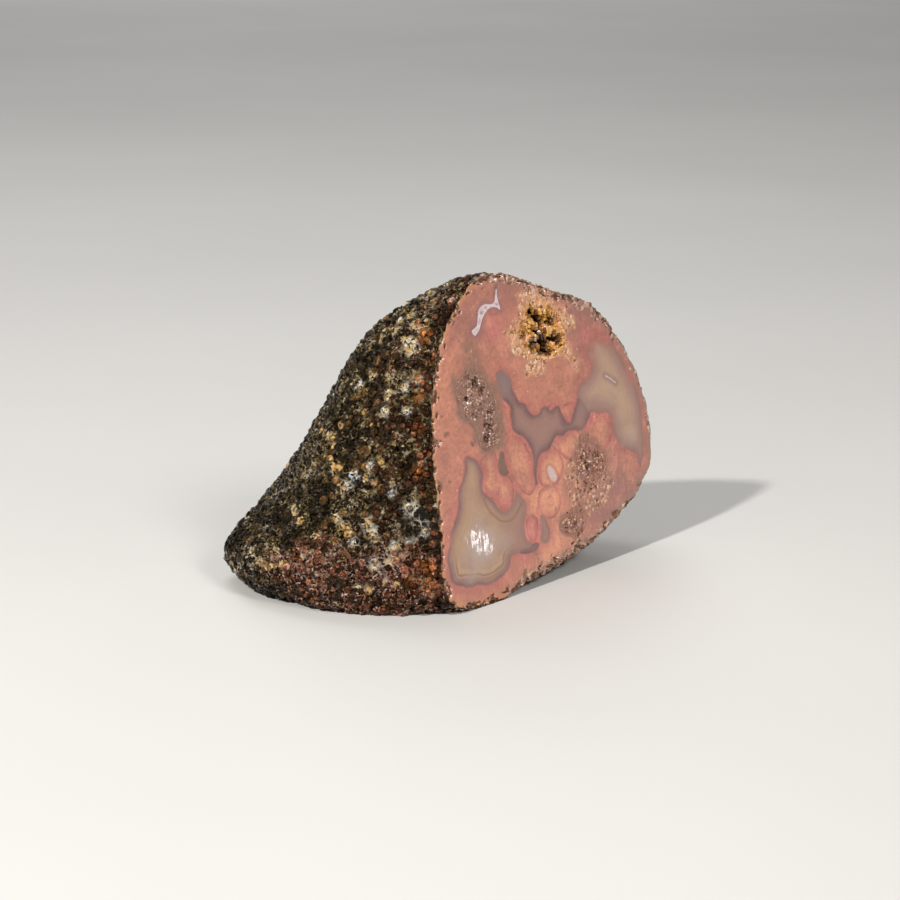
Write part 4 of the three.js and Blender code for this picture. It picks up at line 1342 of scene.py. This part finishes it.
def rind_beads_finish():
    """Glassy beads: dark and clear, with painted shade at their feet and painted light on their
    crowns, thin broken pale edges, flecks that are partly painted glints, and some worn to gold.
    """
    material, t, shader = new_material("rind_beads")
    place, depth = t.group(PLACE, {})
    _, fine = t.grain(place, 1.6)
    cloud, _ = t.grain(place, 0.9)
    lumps = t.noise(place, 2.4, 3.0, 0.6)
    crown = t.value_of("crown")
    kind = t.value_of("kind")
    wide = t.noise(place, 0.14, 3.0, 0.6)
    own = t.spread(t.value_of("tone"), 0.02, 0.74)
    toe = t.step(depth, 22.0, 36.0)
    own = t.plus(own, t.times(toe, -0.15))
    tone = t.plus(own, t.plus(t.spread(wide, -0.35, 0.35), t.spread(cloud, -0.60, 0.60)))
    low = t.step(t.ragged(t.value_of("low"), wide, -0.6, 0.6), 0.3, 0.7)
    maroon = t.times(t.step(t.ragged(depth, wide, -6.0, 6.0), 14.0, 4.0), 0.6)
    color = t.mix(t.larger(low, maroon), t.ramp(tone, UPPER_BEADS), t.ramp(tone, LOWER_BEADS))

    # Painted shade and light: each bead is darkened towards its foot, between the beads, and lightened
    # on its crown; a random mottle is mixed in.
    foot_shade_and_mottle = t.spread(t.step(t.ragged(crown, lumps, -0.2, 0.2), 0.0, 0.50), 0.16, 1.20)
    mottled = t.step(t.noise(place, 2.9, 3.0, 0.65), 0.36, 0.64)
    patchy = t.step(t.noise(place, 0.20, 3.0, 0.65), 0.40, 0.60)
    foot_shade_and_mottle = t.times(foot_shade_and_mottle, t.times(t.spread(mottled, 0.22, 1.75), t.spread(patchy, 0.50, 1.40)))
    color = t.shaded(color, foot_shade_and_mottle)

    # Ragged flecks in drifts: partly pale mineral specks, partly painted glints.
    drift = t.times(t.larger(rind_drift(t, place), low), t.spread(toe, 1.0, 0.5))
    fleck_and_glint = t.step(t.ragged(lumps, fine, -0.15, 0.15), 0.54, 0.62)
    fleck_and_glint = t.times(t.times(fleck_and_glint, drift), t.step(t.noise(place, 0.5, 2.0, 0.6), 0.42, 0.56))
    hue = t.plus(t.spread(kind, -0.25, 0.25), t.noise(place, 0.35))
    fleck_and_glint_color = t.mix(low, t.ramp(hue, UPPER_FLECKS_AND_GLINTS), t.ramp(hue, LOWER_FLECKS_AND_GLINTS))
    color = t.over(color, fleck_and_glint_color, fleck_and_glint, 0.75)

    # Thin broken lines between the beads, and pale patches.
    pale = pale_patches(t, place)
    foot = t.plus(crown, t.spread(t.noise(place, 1.3, 2.0, 0.6), -0.50, 0.40))
    foot = t.ragged(foot, fine, -0.10, 0.10)
    edge = t.times(t.step(foot, 0.22, 0.04), t.step(t.noise(place, 0.7, 2.0, 0.6), 0.44, 0.56))
    edge = t.times(edge, t.step(t.noise(place, 1.5, 2.0, 0.6), 0.42, 0.54))
    color = t.mix(t.times(edge, drift), color, line_color(t, place, low))
    whole = t.step(t.ragged(pale, kind, -0.40, 0.30), 0.75, 0.90)
    over = t.larger(t.step(foot, 0.30, 0.08), t.times(whole, t.step(lumps, 0.44, 0.60)))
    over = t.times(over, pale)
    color = t.mix(over, color, pale_color(t, place))

    # Beads worn to gold, some with a hole.
    others = t.step(t.noise(place, 0.15, 3.0, 0.6), 0.58, 0.71)
    golden = t.larger(t.value_of("worn"), t.times(t.times(others, 0.80), t.spread(toe, 1.0, 0.6)))
    golden = t.step(t.ragged(golden, kind, -0.75, 0.12), 0.45, 0.55)
    hole = t.times(t.step(crown, 0.55, 0.80), t.step(t.value_of("tone"), 0.42, 0.48))
    gold = t.mix(hole, t.ramp(t.noise(place, 2.2, 3.0, 0.7), WORN_GOLD), WORN_HOLE)
    color = t.mix(t.times(golden, t.step(lumps, 0.34, 0.46)), color, gold)

    # By the cut at the left the beads are browner; at the top and right they are clearer.
    amber = t.times(t.value_of("amber"), t.step(kind, 0.15, 0.35))
    honey = t.ragged(t.value_of("tone"), cloud, -0.35, 0.35)
    honey = t.shaded(t.ramp(honey, AMBER_BEADS), foot_shade_and_mottle)
    color = t.mix(amber, color, honey)
    near_cut = t.ragged(depth, wide, -1.5, 1.5)
    brown = t.times(t.step(near_cut, 3.2, 1.0), t.step(kind, 0.30, 0.60))
    edge_tone = t.ragged(t.value_of("tone"), cloud, -0.4, 0.4)
    by_cut = t.shaded(t.ramp(edge_tone, EDGE_BEADS), foot_shade_and_mottle)
    color = t.over(color, by_cut, brown, 0.85)
    color = t.mix(t.times(t.value_of("black"), t.step(foot, 0.05, 0.25)), color, BLACK_BEAD)
    color = t.mix(far_by_cut(t, place, depth, wide), color, t.ramp(kind, CLEAR_BEADS))
    join(t, shader, "Base Color", color)
    rough = t.plus(t.spread(fine, 0.03, 0.16), t.times(golden, 0.20))
    join(t, shader, "Roughness", t.plus(rough, t.times(over, 0.2)))
    height = t.plus(t.times(fine, 0.03), t.times(lumps, 0.08))
    bumped(t, shader, height, BEAD_BUMP)
    shader.inputs["IOR"].default_value = BEAD_IOR
    shader.inputs["Specular IOR Level"].default_value = BEAD_SHINE
    shader.inputs["Specular Tint"].default_value = (*BEAD_SHINE_COLOR, 1.0)
    return material


# ---------------- crystals' finish


def druse_finish(name, druse):
    """Small quartz crystals: a tone for each, darker down in the hollow as painted shade, and near the
    colour of the stone at the hollow's edge."""
    material, t, shader = new_material(name)
    place, depth = t.group(PLACE, {})
    _, fine = t.grain(place, 1.5)
    tone = t.ragged(t.value_of("tone"), fine, -0.22, 0.22)
    ground, span = druse["ground"], druse["shade_span"]
    color = t.ramp(tone, druse["stops"])
    cool = t.step(t.noise(place, 0.22), 0.58, 0.66)
    color = t.over(color, COOL_CRYSTAL, t.times(cool, t.step(tone, 0.40, 0.60)), 0.6)
    inside = t.step(t.ragged(t.value_of("edge"), fine, -0.3, 0.3), 0.0, 0.9)
    color = t.over(color, ground, t.rest(inside), 0.7)
    color = t.mix(t.value_of("bare"), color, lining_ground(t, place, ground))
    # Painted shade: the lining is darkened towards the deep colour down in its hollow.
    color = t.over(color, druse["deep"], t.step(depth, 0.12 * span, span), 0.9)
    join(t, shader, "Base Color", color)
    join(t, shader, "Roughness", t.spread(fine, 0.12, 0.30))
    shader.inputs["IOR"].default_value = QUARTZ_IOR
    return material


# ---------------- growing beads and crystals

UNEVEN_PER_MM = 1.2         # how fine the push is that makes the copies uneven
DENSITY = 4.0               # places tried in a square as wide as the spacing
WIDTHS = (0.88, 1.12)       # the range of a copy's width over its length


def grow(source, name, shape, material, spacing, sizes, flatness, tilt, uneven, seed,
         keep_source=False):
    """Copies of a shape that stand all over a surface, made one mesh by Geometry Nodes.

    The tree's inputs are in metres. spacing is the least distance between two copies, sizes the
    range of their radius and flatness the range of their height, as a share of that radius. tilt
    is how far they lean, in degrees, and uneven how far the finished shapes are pushed out of
    true. The surface's values "growth" and "size" say where they stand and how large they are."""
    tree = bpy.data.node_groups.new(name + "_growth", "GeometryNodeTree")
    t = Tree(tree)
    add_socket(tree, "Geometry", "Geometry")
    given = {
        "Shape": ("Object", shape), "Spacing": ("Float", spacing * MM),
        "Smallest": ("Float", sizes[0] * MM), "Largest": ("Float", sizes[1] * MM),
        "Flattest": ("Float", flatness[0]), "Tallest": ("Float", flatness[1]),
        "Tilt": ("Float", math.radians(tilt)), "Unevenness": ("Float", uneven * MM),
        "Seed": ("Int", seed), "Material": ("Material", material)}
    keys = {label: add_socket(tree, label, kind).identifier for label, (kind, _) in given.items()}
    add_socket(tree, "Geometry", "Geometry", "OUTPUT")
    start = tree.nodes.new("NodeGroupInput").outputs
    end = tree.nodes.new("NodeGroupOutput")

    def chance(low, high, salt):
        return t.add("FunctionNodeRandomValue", 1, {
            2: low, 3: high, "Seed": t.math("ADD", start["Seed"], salt)}, data_type="FLOAT")

    def named(label):
        return t.add("GeometryNodeInputNamedAttribute", 0, {"Name": label}, data_type="FLOAT")

    spread = tree.nodes.new("GeometryNodeDistributePointsOnFaces")
    spread.distribute_method = "POISSON"
    tree.links.new(start["Geometry"], spread.inputs["Mesh"])
    tree.links.new(start["Spacing"], spread.inputs["Distance Min"])
    spread.inputs["Density Max"].default_value = DENSITY / (spacing * MM) ** 2
    tree.links.new(named("growth"), spread.inputs["Density Factor"])
    tree.links.new(start["Seed"], spread.inputs["Seed"])
    radius = t.times(chance(start["Smallest"], start["Largest"], 1), named("size"))
    height = t.times(radius, chance(start["Flattest"], start["Tallest"], 2))
    wide = t.times(radius, chance(*WIDTHS, 3))
    scale = t.add("ShaderNodeCombineXYZ", 0, {0: wide, 1: radius, 2: height})
    lean = [t.times(chance(-1.0, 1.0, salt), start["Tilt"]) for salt in (4, 5)]
    turn = t.add("ShaderNodeCombineXYZ", 0, {0: lean[0], 1: lean[1], 2: chance(-math.pi, math.pi, 6)})
    turn = t.add("FunctionNodeEulerToRotation", 0, {0: turn})
    rotation = t.add("FunctionNodeRotateRotation", 0, {0: spread.outputs["Rotation"], 1: turn},
                     rotation_space="LOCAL")
    info = t.add("GeometryNodeObjectInfo", "Geometry", {"Object": start["Shape"]})
    copies = t.add("GeometryNodeInstanceOnPoints", 0, {
        "Points": spread.outputs["Points"], "Instance": info, "Rotation": rotation, "Scale": scale})
    for label, value in (("tone", chance(0.0, 1.0, 7)), ("kind", chance(0.0, 1.0, 8)), ("bare", 0.0)):
        copies = t.add("GeometryNodeStoreNamedAttribute", 0, {
            "Geometry": copies, "Name": label, "Value": value},
            data_type="FLOAT", domain="INSTANCE")
    if keep_source:
        both = tree.nodes.new("GeometryNodeJoinGeometry")
        tree.links.new(copies, both.inputs[0])
        tree.links.new(start["Geometry"], both.inputs[0])
        copies = both.outputs[0]
    whole = t.add("GeometryNodeRealizeInstances", 0, {"Geometry": copies})
    where = t.vector("MULTIPLY", t.add("GeometryNodeInputPosition", 0, {}), (1 / MM,) * 3)
    push = t.vector("SUBTRACT", t.noise(where, UNEVEN_PER_MM, 1.0, 0.5, 1), (0.5, 0.5, 0.5))
    push = t.add("ShaderNodeVectorMath", 0, {0: push, 3: start["Unevenness"]}, operation="SCALE")
    whole = t.add("GeometryNodeSetPosition", 0, {"Geometry": whole, "Offset": push})
    whole = t.add("GeometryNodeSetMaterial", 0, {"Geometry": whole, "Material": start["Material"]})
    tree.links.new(whole, end.inputs[0])

    modifier = source.modifiers.new(tree.name, "NODES")
    modifier.node_group = tree
    for label, (_, value) in given.items():
        modifier[keys[label]] = value
    graph = bpy.context.evaluated_depsgraph_get()
    mesh = bpy.data.meshes.new_from_object(source.evaluated_get(graph))
    source.modifiers.remove(modifier)
    mesh.name = name
    return new_object(name, mesh)


def places_of(mesh):
    """A mesh's points in the stone's frame, in millimetres."""
    co = np.empty(len(mesh.vertices) * 3, np.float32)
    mesh.vertices.foreach_get("co", co)
    return co.reshape(-1, 3).astype(float) / MM - FACE_CORNER


def trim(made, behind):
    """Nothing stands before the plane of the cut or outside the block: it is cut flat there."""
    points = places_of(made.data)
    face_in = in_stone(0, 0, 1.0)
    points += np.maximum(0, behind - behind_face(points))[:, None] * face_in
    points = (kept_in(points) + FACE_CORNER) * MM
    made.data.vertices.foreach_set("co", points.astype(np.float32).ravel())
    made.data.update()


def finished(made, slot_name, *replaced):
    """Smooth, on the stone's body, and in place of the nodes it replaces."""
    made.data.polygons.foreach_set("use_smooth", np.ones(len(made.data.polygons), bool))
    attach(made, "root")
    if replaced:
        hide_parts(*replaced)


def drop(*helpers):
    for helper in helpers:
        bpy.data.meshes.remove(helper.data)


def underside(ring):
    """Triangles that close a shape at its lowest ring."""
    return np.array([(ring[0], ring[k + 1], ring[k]) for k in range(1, len(ring) - 1)])


BEAD_SIDES = 8
BEAD_RINGS = [(0.0, 0.92), (0.55, 0.80), (0.90, 0.42), (1.0, -0.25)]   # radius and height


def bead_shape():
    """A low dome of radius 1, closed underneath. Its crown value is 1 on top and 0 at its foot."""
    points = [(0, 0, BEAD_RINGS[0][1])]
    crown = [1.0]
    for radius, height in BEAD_RINGS[1:]:
        for k in range(BEAD_SIDES):
            angle = 2 * math.pi * (k + 0.5 * radius) / BEAD_SIDES
            points.append((radius * math.cos(angle), radius * math.sin(angle), height))
            crown.append(1 - radius)
    top, middle, foot = np.arange(1, len(points)).reshape(-1, BEAD_SIDES)
    faces = [fan(0, top), band(top, middle), band(middle, foot), underside(foot)]
    return shape_object("bead", points, np.vstack(faces), {"crown": crown})


CRYSTAL_SIDES = 6
CRYSTAL_RINGS = [(0.95, -0.4), (0.85, 0.75)]       # radius and height
CRYSTAL_TIP = (0.15, 0.1, 1.55)
CRYSTAL_UNEVEN = 0.12


def crystal_shape():
    """A short six-sided quartz crystal of radius 1 with a pointed end."""
    points = []
    for radius, height in CRYSTAL_RINGS:
        for k in range(CRYSTAL_SIDES):
            angle = 2 * math.pi * k / CRYSTAL_SIDES
            wide = 1 + CRYSTAL_UNEVEN * math.sin(2.3 * k + height)
            rise = CRYSTAL_UNEVEN * math.cos(2 * angle) if height > 0 else 0
            points.append((radius * wide * math.cos(angle), radius * wide * math.sin(angle),
                           height + rise))
    foot, shoulder = np.arange(len(points)).reshape(-1, CRYSTAL_SIDES)
    faces = [band(foot, shoulder)[:, ::-1], fan(len(points), shoulder), underside(foot)]
    return shape_object("crystal", [*points, CRYSTAL_TIP], np.vstack(faces), {})


def shape_object(name, points, faces, values):
    """A shape in units of its own, which the growth trees scale."""
    made = mesh_object(name, np.array(points) / MM - FACE_CORNER, faces, values)
    made.data.polygons.foreach_set("use_smooth", np.full(len(faces), name == "bead"))
    return made


# ---------------- the druses

GOLD_PITS = [
    ((32, 49.8), 0.9, 3.5), ((32.8, 48.6), 1.0, 4.0), ((34.6, 47.6), 1.3, 4.5), ((37.4, 46.6), 1.2, 4),
    ((32.2, 46.2), 0.9, 3.5), ((29.6, 45.1), 0.9, 3), ((32.2, 43.1), 1.2, 4), ((35.4, 42.8), 1.8, 5),
    ((37.8, 43.9), 1.0, 3.5), ((39.2, 42.8), 1.0, 3.5), ((39.8, 41.4), 0.7, 2.5), ((36.6, 41), 1.0, 3),
    ((33.4, 41.4), 0.8, 3), ((34.2, 45.2), 1.1, 4.0), ((30.6, 47.2), 0.7, 2)]
# deep is the colour of the painted shade down in a hollow; the painted shade is full at shade_span
# down.
DRUSES = {
    "golden_druse": dict(
        slot="golden_quartz", stops=GOLD_CRYSTALS, deep=(0.036, 0.012, 0.003), shade_span=2.6,
        ground=(0.680, 0.370, 0.215), plateau=0.32, swell=0.40, clusters=[((34.4, 45.9), 20)],
        pits=GOLD_PITS, spacing=0.52, sizes=(0.20, 0.52), seed=51),
    "smoky_druse": dict(
        slot="smoky_quartz", stops=GREY_CRYSTALS, deep=(0.050, 0.026, 0.014), shade_span=1.3,
        ground=LININGS["smoky"]["color"], plateau=0.16, swell=0.16, clusters=[
            ((15.2, 38.8), 2.7), ((17.0, 36.6), 2.6), ((13.6, 36.0), 2.3), ((12.9, 33.4), 1.2),
            ((18.6, 30.2), 2.4), ((17.6, 28.0), 2.6), ((19.0, 33.2), 1.5), ((16.2, 33.4), 1.3)],
        pits=[
            ((15.6, 39.2), 0.8, 1.2), ((17.2, 37.2), 0.6, 1.0), ((13, 36.2), 0.5, 0.9),
            ((18.4, 30.4), 0.7, 1.2), ((17, 28), 0.7, 1.2), ((19.2, 28.2), 0.5, 1.1),
            ((18.6, 33), 0.5, 1.0), ((14.4, 33), 0.4, 0.8), ((17.8, 29.2), 0.4, 1.0)],
        spacing=0.42, sizes=(0.14, 0.32), seed=52),
    "rose_druse": dict(
        slot="rose_quartz", stops=ROSE_CRYSTALS, deep=(0.060, 0.030, 0.016), shade_span=1.3,
        ground=LININGS["rosy"]["color"], plateau=0.18, swell=0.18, clusters=[
            ((43.0, 20.8), 2.2), ((44.0, 17.6), 2.4), ((41.8, 18.4), 1.5), ((46.6, 19.0), 1.8),
            ((47.6, 16.4), 1.6), ((44.6, 15.2), 1.4)],
        pits=[
            ((43.8, 17.4), 0.6, 1.3), ((44, 15.8), 0.45, 1.1), ((42.4, 19.8), 0.5, 1.1),
            ((43.4, 18.6), 0.4, 1.0), ((46.4, 19.2), 0.5, 1.0)],
        spacing=0.44, sizes=(0.15, 0.36), seed=53),
    "cream_druse": dict(
        slot="cream_quartz", stops=ROSE_CRYSTALS, deep=(0.060, 0.030, 0.016), shade_span=1.2,
        ground=LININGS["rosy"]["color"], plateau=0.18, swell=0.16, clusters=[
            ((36.0, 7.9), 1.6), ((38.6, 7.6), 1.8), ((37.2, 9.0), 1.1), ((40.2, 7.4), 1.2)],
        pits=[
            ((36.2, 7.8), 0.5, 0.9), ((38.8, 7.4), 0.5, 0.9), ((37.4, 8.8), 0.35, 0.8)],
        spacing=0.42, sizes=(0.15, 0.34), seed=54),
}
CRYSTALS_OF_LINING = dict(flatness=(0.6, 1.3), tilt=30, uneven=0.15, keep_source=True)
# The chips are the crystals in the small pits of the face.
CHIPS = dict(spacing=0.40, sizes=(0.13, 0.28), flatness=(0.6, 1.1), tilt=40, uneven=0.05)
CHIP_SEED = 20              # added to the seed of the lining
CHIP_EDGE = 0.8             # how far a chip keeps its own colour
LINING_FADE = 1.5           # a lining has its own colour this far in from its edge
CRUST_STEP = 0.3
CRUST_THICKNESS = 0.5
CRUST_RIM = 0.005           # a lining's edge is almost level with the cut
CRUST_LEVEL = 0.045         # its smooth parts lie this far behind the cut
CRUST_SPARSE = 0.10         # the share of crystals outside the clusters
CRUST_TONE = 0.35


def crust_sheet(name, hollow, druse):
    """The lining of a hollow, as a closed sheet: level near the face, with steep pits."""
    loop = mouth_of(hollow)
    inner = hex_points(loop.min(0), loop.max(0), CRUST_STEP)
    inner = inner[depth_inside(inner, loop) > OUTLINE_CLEAR]
    flat, triangles = patch([loop], inner)
    depth = druse["plateau"] + druse["swell"] * soft_noise(flat, 1.3, druse["seed"])
    cluster = np.zeros(len(flat))
    for middle, radius in druse["clusters"]:
        away = np.linalg.norm(flat - middle, axis=1) / radius
        cluster = np.maximum(cluster, step_up(away + 0.45 * soft_noise(flat, 0.9, 5), 1.25, 0.65))
    depth = CRUST_LEVEL + (depth - CRUST_LEVEL) * cluster
    for middle, radius, deep in druse["pits"]:
        away = np.linalg.norm(flat - middle, axis=1) / radius
        away = away + 0.35 * soft_noise(flat, 0.8, druse["seed"] + 1)
        depth = np.maximum(depth, deep * step_up(away, 1.35, 0.55))
    from_wall = depth_inside(flat, loop)
    floor = hollow["depth"] * (0.25 + 0.7 * step_up(from_wall, 0, 2.5)) - CRUST_THICKNESS
    depth = np.clip(depth, CRUST_LEVEL, np.maximum(floor, 0.25))
    depth = np.where(from_wall < 0.05, CRUST_RIM, depth)
    count, border = len(flat), len(loop)
    top = in_stone(flat[:, 0], flat[:, 1], depth)
    back = in_stone(flat[:, 0], flat[:, 1], depth + CRUST_THICKNESS)
    faces = np.vstack([triangles, triangles[:, ::-1] + count,
                       band(np.arange(border), np.arange(border) + count)])
    growth = np.concatenate([np.maximum(cluster, CRUST_SPARSE), np.zeros(count)])
    return mesh_object(name + "_sheet", np.vstack([top, back]), faces, {
        "growth": growth, "size": np.ones(2 * count), "bare": np.ones(2 * count),
        "tone": np.full(2 * count, CRUST_TONE)})


def make_druses(pits):
    """The crust of each hollow, with the chips in the small pits that are nearest to it."""
    crystal = crystal_shape()
    pit_places = on_face(places_of(pits.data))
    pitted = stored(pits.data, "pit")
    middles = np.array([hollow["centre"] for hollow in HOLLOWS.values()])
    nearest = np.linalg.norm(pit_places[:, None] - middles, axis=2).argmin(1)
    for n, (name, druse) in enumerate(DRUSES.items()):
        finish = druse_finish(name, druse)
        sheet = crust_sheet(name, HOLLOWS[name], druse)
        grown = grow(sheet, name + "_crystals", crystal, finish, druse["spacing"], druse["sizes"],
                     seed=druse["seed"], **CRYSTALS_OF_LINING)
        edge = inside_of(on_face(places_of(grown.data)), HOLLOWS[name]["outline"])
        store(grown.data, "edge", edge / LINING_FADE)
        store(pits.data, "growth", (nearest == n) * step_up(pitted, CHIPPED, 0.7))
        store(pits.data, "size", np.ones(len(pitted)))
        chips = grow(pits, name + "_chips", crystal, finish, seed=druse["seed"] + CHIP_SEED, **CHIPS)
        store(chips.data, "edge", np.full(len(chips.data.vertices), CHIP_EDGE))
        with bpy.context.temp_override(active_object=grown, selected_editable_objects=[grown, chips]):
            bpy.ops.object.join()
        trim(grown, CRUST_RIM)
        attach(grown, "root")
        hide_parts(name)
        drop(sheet)
    drop(crystal, pits)


# ---------------- the rind

# Sets of beads: the value that says where they grow, and what grow() needs. The fine ones fill the
# gaps between the others.
BEAD_SETS = [
    ("rind_beads", "above", dict(
        spacing=1.22, sizes=(0.58, 1.12), flatness=(0.50, 0.90), tilt=16, seed=71)),
    ("rind_fine_beads", "above", dict(
        spacing=1.18, sizes=(0.28, 0.52), flatness=(0.9, 1.4), tilt=25, seed=73)),
    ("rind_large_beads", "big", dict(
        spacing=1.9, sizes=(0.85, 1.35), flatness=(0.55, 0.75), tilt=8, seed=72)),
]
BEAD_UNEVEN = 0.62
BIG_SHARE = 0.06            # of the places for large beads that hold one outside the black patches
BEADS_BEHIND = 0.03         # beads by the cut end this far behind it
GROUND_CLEAR = 0.05         # no bead grows on the flat patch that the stone stands on


def rind_values(points):
    """Where the beads and the large ones grow, and how large they are."""
    above = np.where(points[:, 2] + FACE_CORNER[2] > GROUND_CLEAR, 1.0, 0.0)
    side = points[:, [0, 2]] + points[:, 1:2]
    size = 1 + 0.20 * soft_noise(side, 5, 61)
    size *= 1 - 0.40 * step_up(behind_face(points), 3.0, 1.5) * step_up(points[:, 0], 16, 22)
    big = above * np.maximum(BIG_SHARE, patch_values(points)["black"])
    return {"above": above, "big": big, "size": size}


def low_share(points):
    """How far a place is in the rosier foot of the rind, which ends before the toe."""
    height = points[:, 2] + FACE_CORNER[2]
    return step_up(height, 21, 5) * step_up(behind_face(points), 34, 20)


def make_rind(base):
    """The beads of the rind: each set is one piece, all with one finish."""
    values = rind_values(places_of(base.data))
    store(base.data, "size", values["size"])
    bead = bead_shape()
    finish = rind_beads_finish()
    for name, where, kind in BEAD_SETS:
        store(base.data, "growth", values[where])
        made = grow(base, name, bead, finish, uneven=BEAD_UNEVEN, **kind)
        places = places_of(made.data)
        for key, value in {**patch_values(places), "low": low_share(places)}.items():
            store(made.data, key, value)
        trim(made, BEADS_BEHIND)
        finished(made, "agate")
    drop(bead, base)


# ---------------- camera, floor and light

CAMERA_PLACE = np.array([-271.335, -265.253, 135.249])   # from the face's corner
CAMERA_AZIMUTH = math.radians(-46)
CAMERA_HEIGHT = math.radians(15.5)
FLOOR_RADIUS = 4.0
FLOOR_SIDES = 96
FLOOR_COLORS = [(0.3, (0.53, 0.525, 0.515)), (0.7, (0.56, 0.555, 0.545))]
WORLD_COLOR = (1.0, 0.98, 0.95)
WORLD_STRENGTH = 0.20
MIDDLE = (0, 0, 0.025)
# The lamps: place and aim in metres, size, power and colour.
LAMPS = [
    ("key", (-0.10, -0.75, 0.60), MIDDLE, (0.22, 0.22), 4.3, (1.0, 0.97, 0.93)),
    ("side", (-0.58, -0.05, 0.52), MIDDLE, (0.040, 0.040), 6.2, (1.0, 0.97, 0.92)),
    ("top", (0.1, 0.35, 0.8), MIDDLE, (0.4, 0.4), 2.0, (1, 1, 1)),
    ("back", (1.3, 1.7, 1.4), (1.2, 1.5, 0), (1.2, 1.2), 14.0, (1, 1, 1)),
]
GLINT_AWAY = 62.0           # the small lamp's distance from the low pool, in millimetres
GLINT_SIZE = (0.0013, 0.0034)
GLINT_POWER = 1.5e-6
GLINT_BEAM = math.radians(12)


def make_camera():
    camera = bpy.data.cameras.new("camera")
    camera.lens = 90
    camera.sensor_width = 36
    camera.clip_start = 0.01
    camera.clip_end = 20
    made = new_object("camera", camera)
    made.location = (CAMERA_PLACE + FACE_CORNER) * MM
    level = math.cos(CAMERA_HEIGHT)
    back = Vector((math.sin(CAMERA_AZIMUTH) * level, -math.cos(CAMERA_AZIMUTH) * level,
                   math.sin(CAMERA_HEIGHT)))
    turn_to(made, -back)
    bpy.context.scene.camera = made


def make_floor():
    angles = [2 * math.pi * k / FLOOR_SIDES for k in range(FLOOR_SIDES)]
    ring = [(FLOOR_RADIUS * math.cos(a), FLOOR_RADIUS * math.sin(a), 0.0) for a in angles]
    mesh = bpy.data.meshes.new("floor")
    mesh.from_pydata([(0, 0, 0), *ring], [],
                     [(0, 1 + k, 1 + (k + 1) % FLOOR_SIDES) for k in range(FLOOR_SIDES)])
    made = new_object("floor", mesh)
    material, t, shader = new_material("pale_floor")
    where = t.add("ShaderNodeTexCoord", "Object", {})
    cloud = t.noise(where, 6.0, 3.0, 0.5)
    join(t, shader, "Base Color", t.ramp(cloud, FLOOR_COLORS))
    shader.inputs["Roughness"].default_value = 0.7
    mesh.materials.append(material)


def make_light(name, place, aim, size, power, color):
    light = bpy.data.lights.new(name, "AREA")
    light.shape = "RECTANGLE"
    light.size, light.size_y = size
    light.energy = power
    light.color = color
    made = new_object(name, light)
    made.location = place
    turn_to(made, Vector(aim) - Vector(place))
    made.visible_camera = False
    return light


def make_glint():
    """A small low lamp with a narrow beam, which only the low pool mirrors to the camera."""
    pool = in_stone(*RIPPLES["centre"], 0.0)
    out = in_stone(0, 0, -1.0)
    to_camera = CAMERA_PLACE - pool
    to_camera = to_camera / np.linalg.norm(to_camera)
    mirrored = 2 * (to_camera @ out) * out - to_camera
    lamp = pool + GLINT_AWAY * mirrored
    glint = make_light("low", (lamp + FACE_CORNER) * MM, (pool + FACE_CORNER) * MM, GLINT_SIZE,
                       GLINT_POWER, (1, 1, 1))
    glint.spread = GLINT_BEAM


def make_studio():
    world = bpy.data.worlds.new("studio")
    world.use_nodes = True
    background = world.node_tree.nodes["Background"].inputs
    background["Color"].default_value = (*WORLD_COLOR, 1)
    background["Strength"].default_value = WORLD_STRENGTH
    bpy.context.scene.world = world
    bpy.context.scene.view_settings.view_transform = "Standard"
    for lamp in LAMPS:
        make_light(*lamp)
    make_glint()


# ---------------- the object


def paint_stone(mesh):
    """The polished finish where all corners of a triangle are on the cut, and the web elsewhere."""
    mesh.materials.append(rind_web())
    mesh.materials.append(polished_agate())
    corners = np.empty(len(mesh.polygons) * 3, np.int32)
    mesh.loops.foreach_get("vertex_index", corners)
    polished = (stored(mesh, "cut")[corners.reshape(-1, 3)] > 0.5).all(1)
    mesh.polygons.foreach_set("material_index", polished.astype(np.int32))


make_camera()
make_floor()
make_studio()

stone, rind_base, face_pits = make_stone()
paint_stone(stone.data)
finished(stone, "agate", "agate_nodule")
make_rind(rind_base)
make_druses(face_pits)
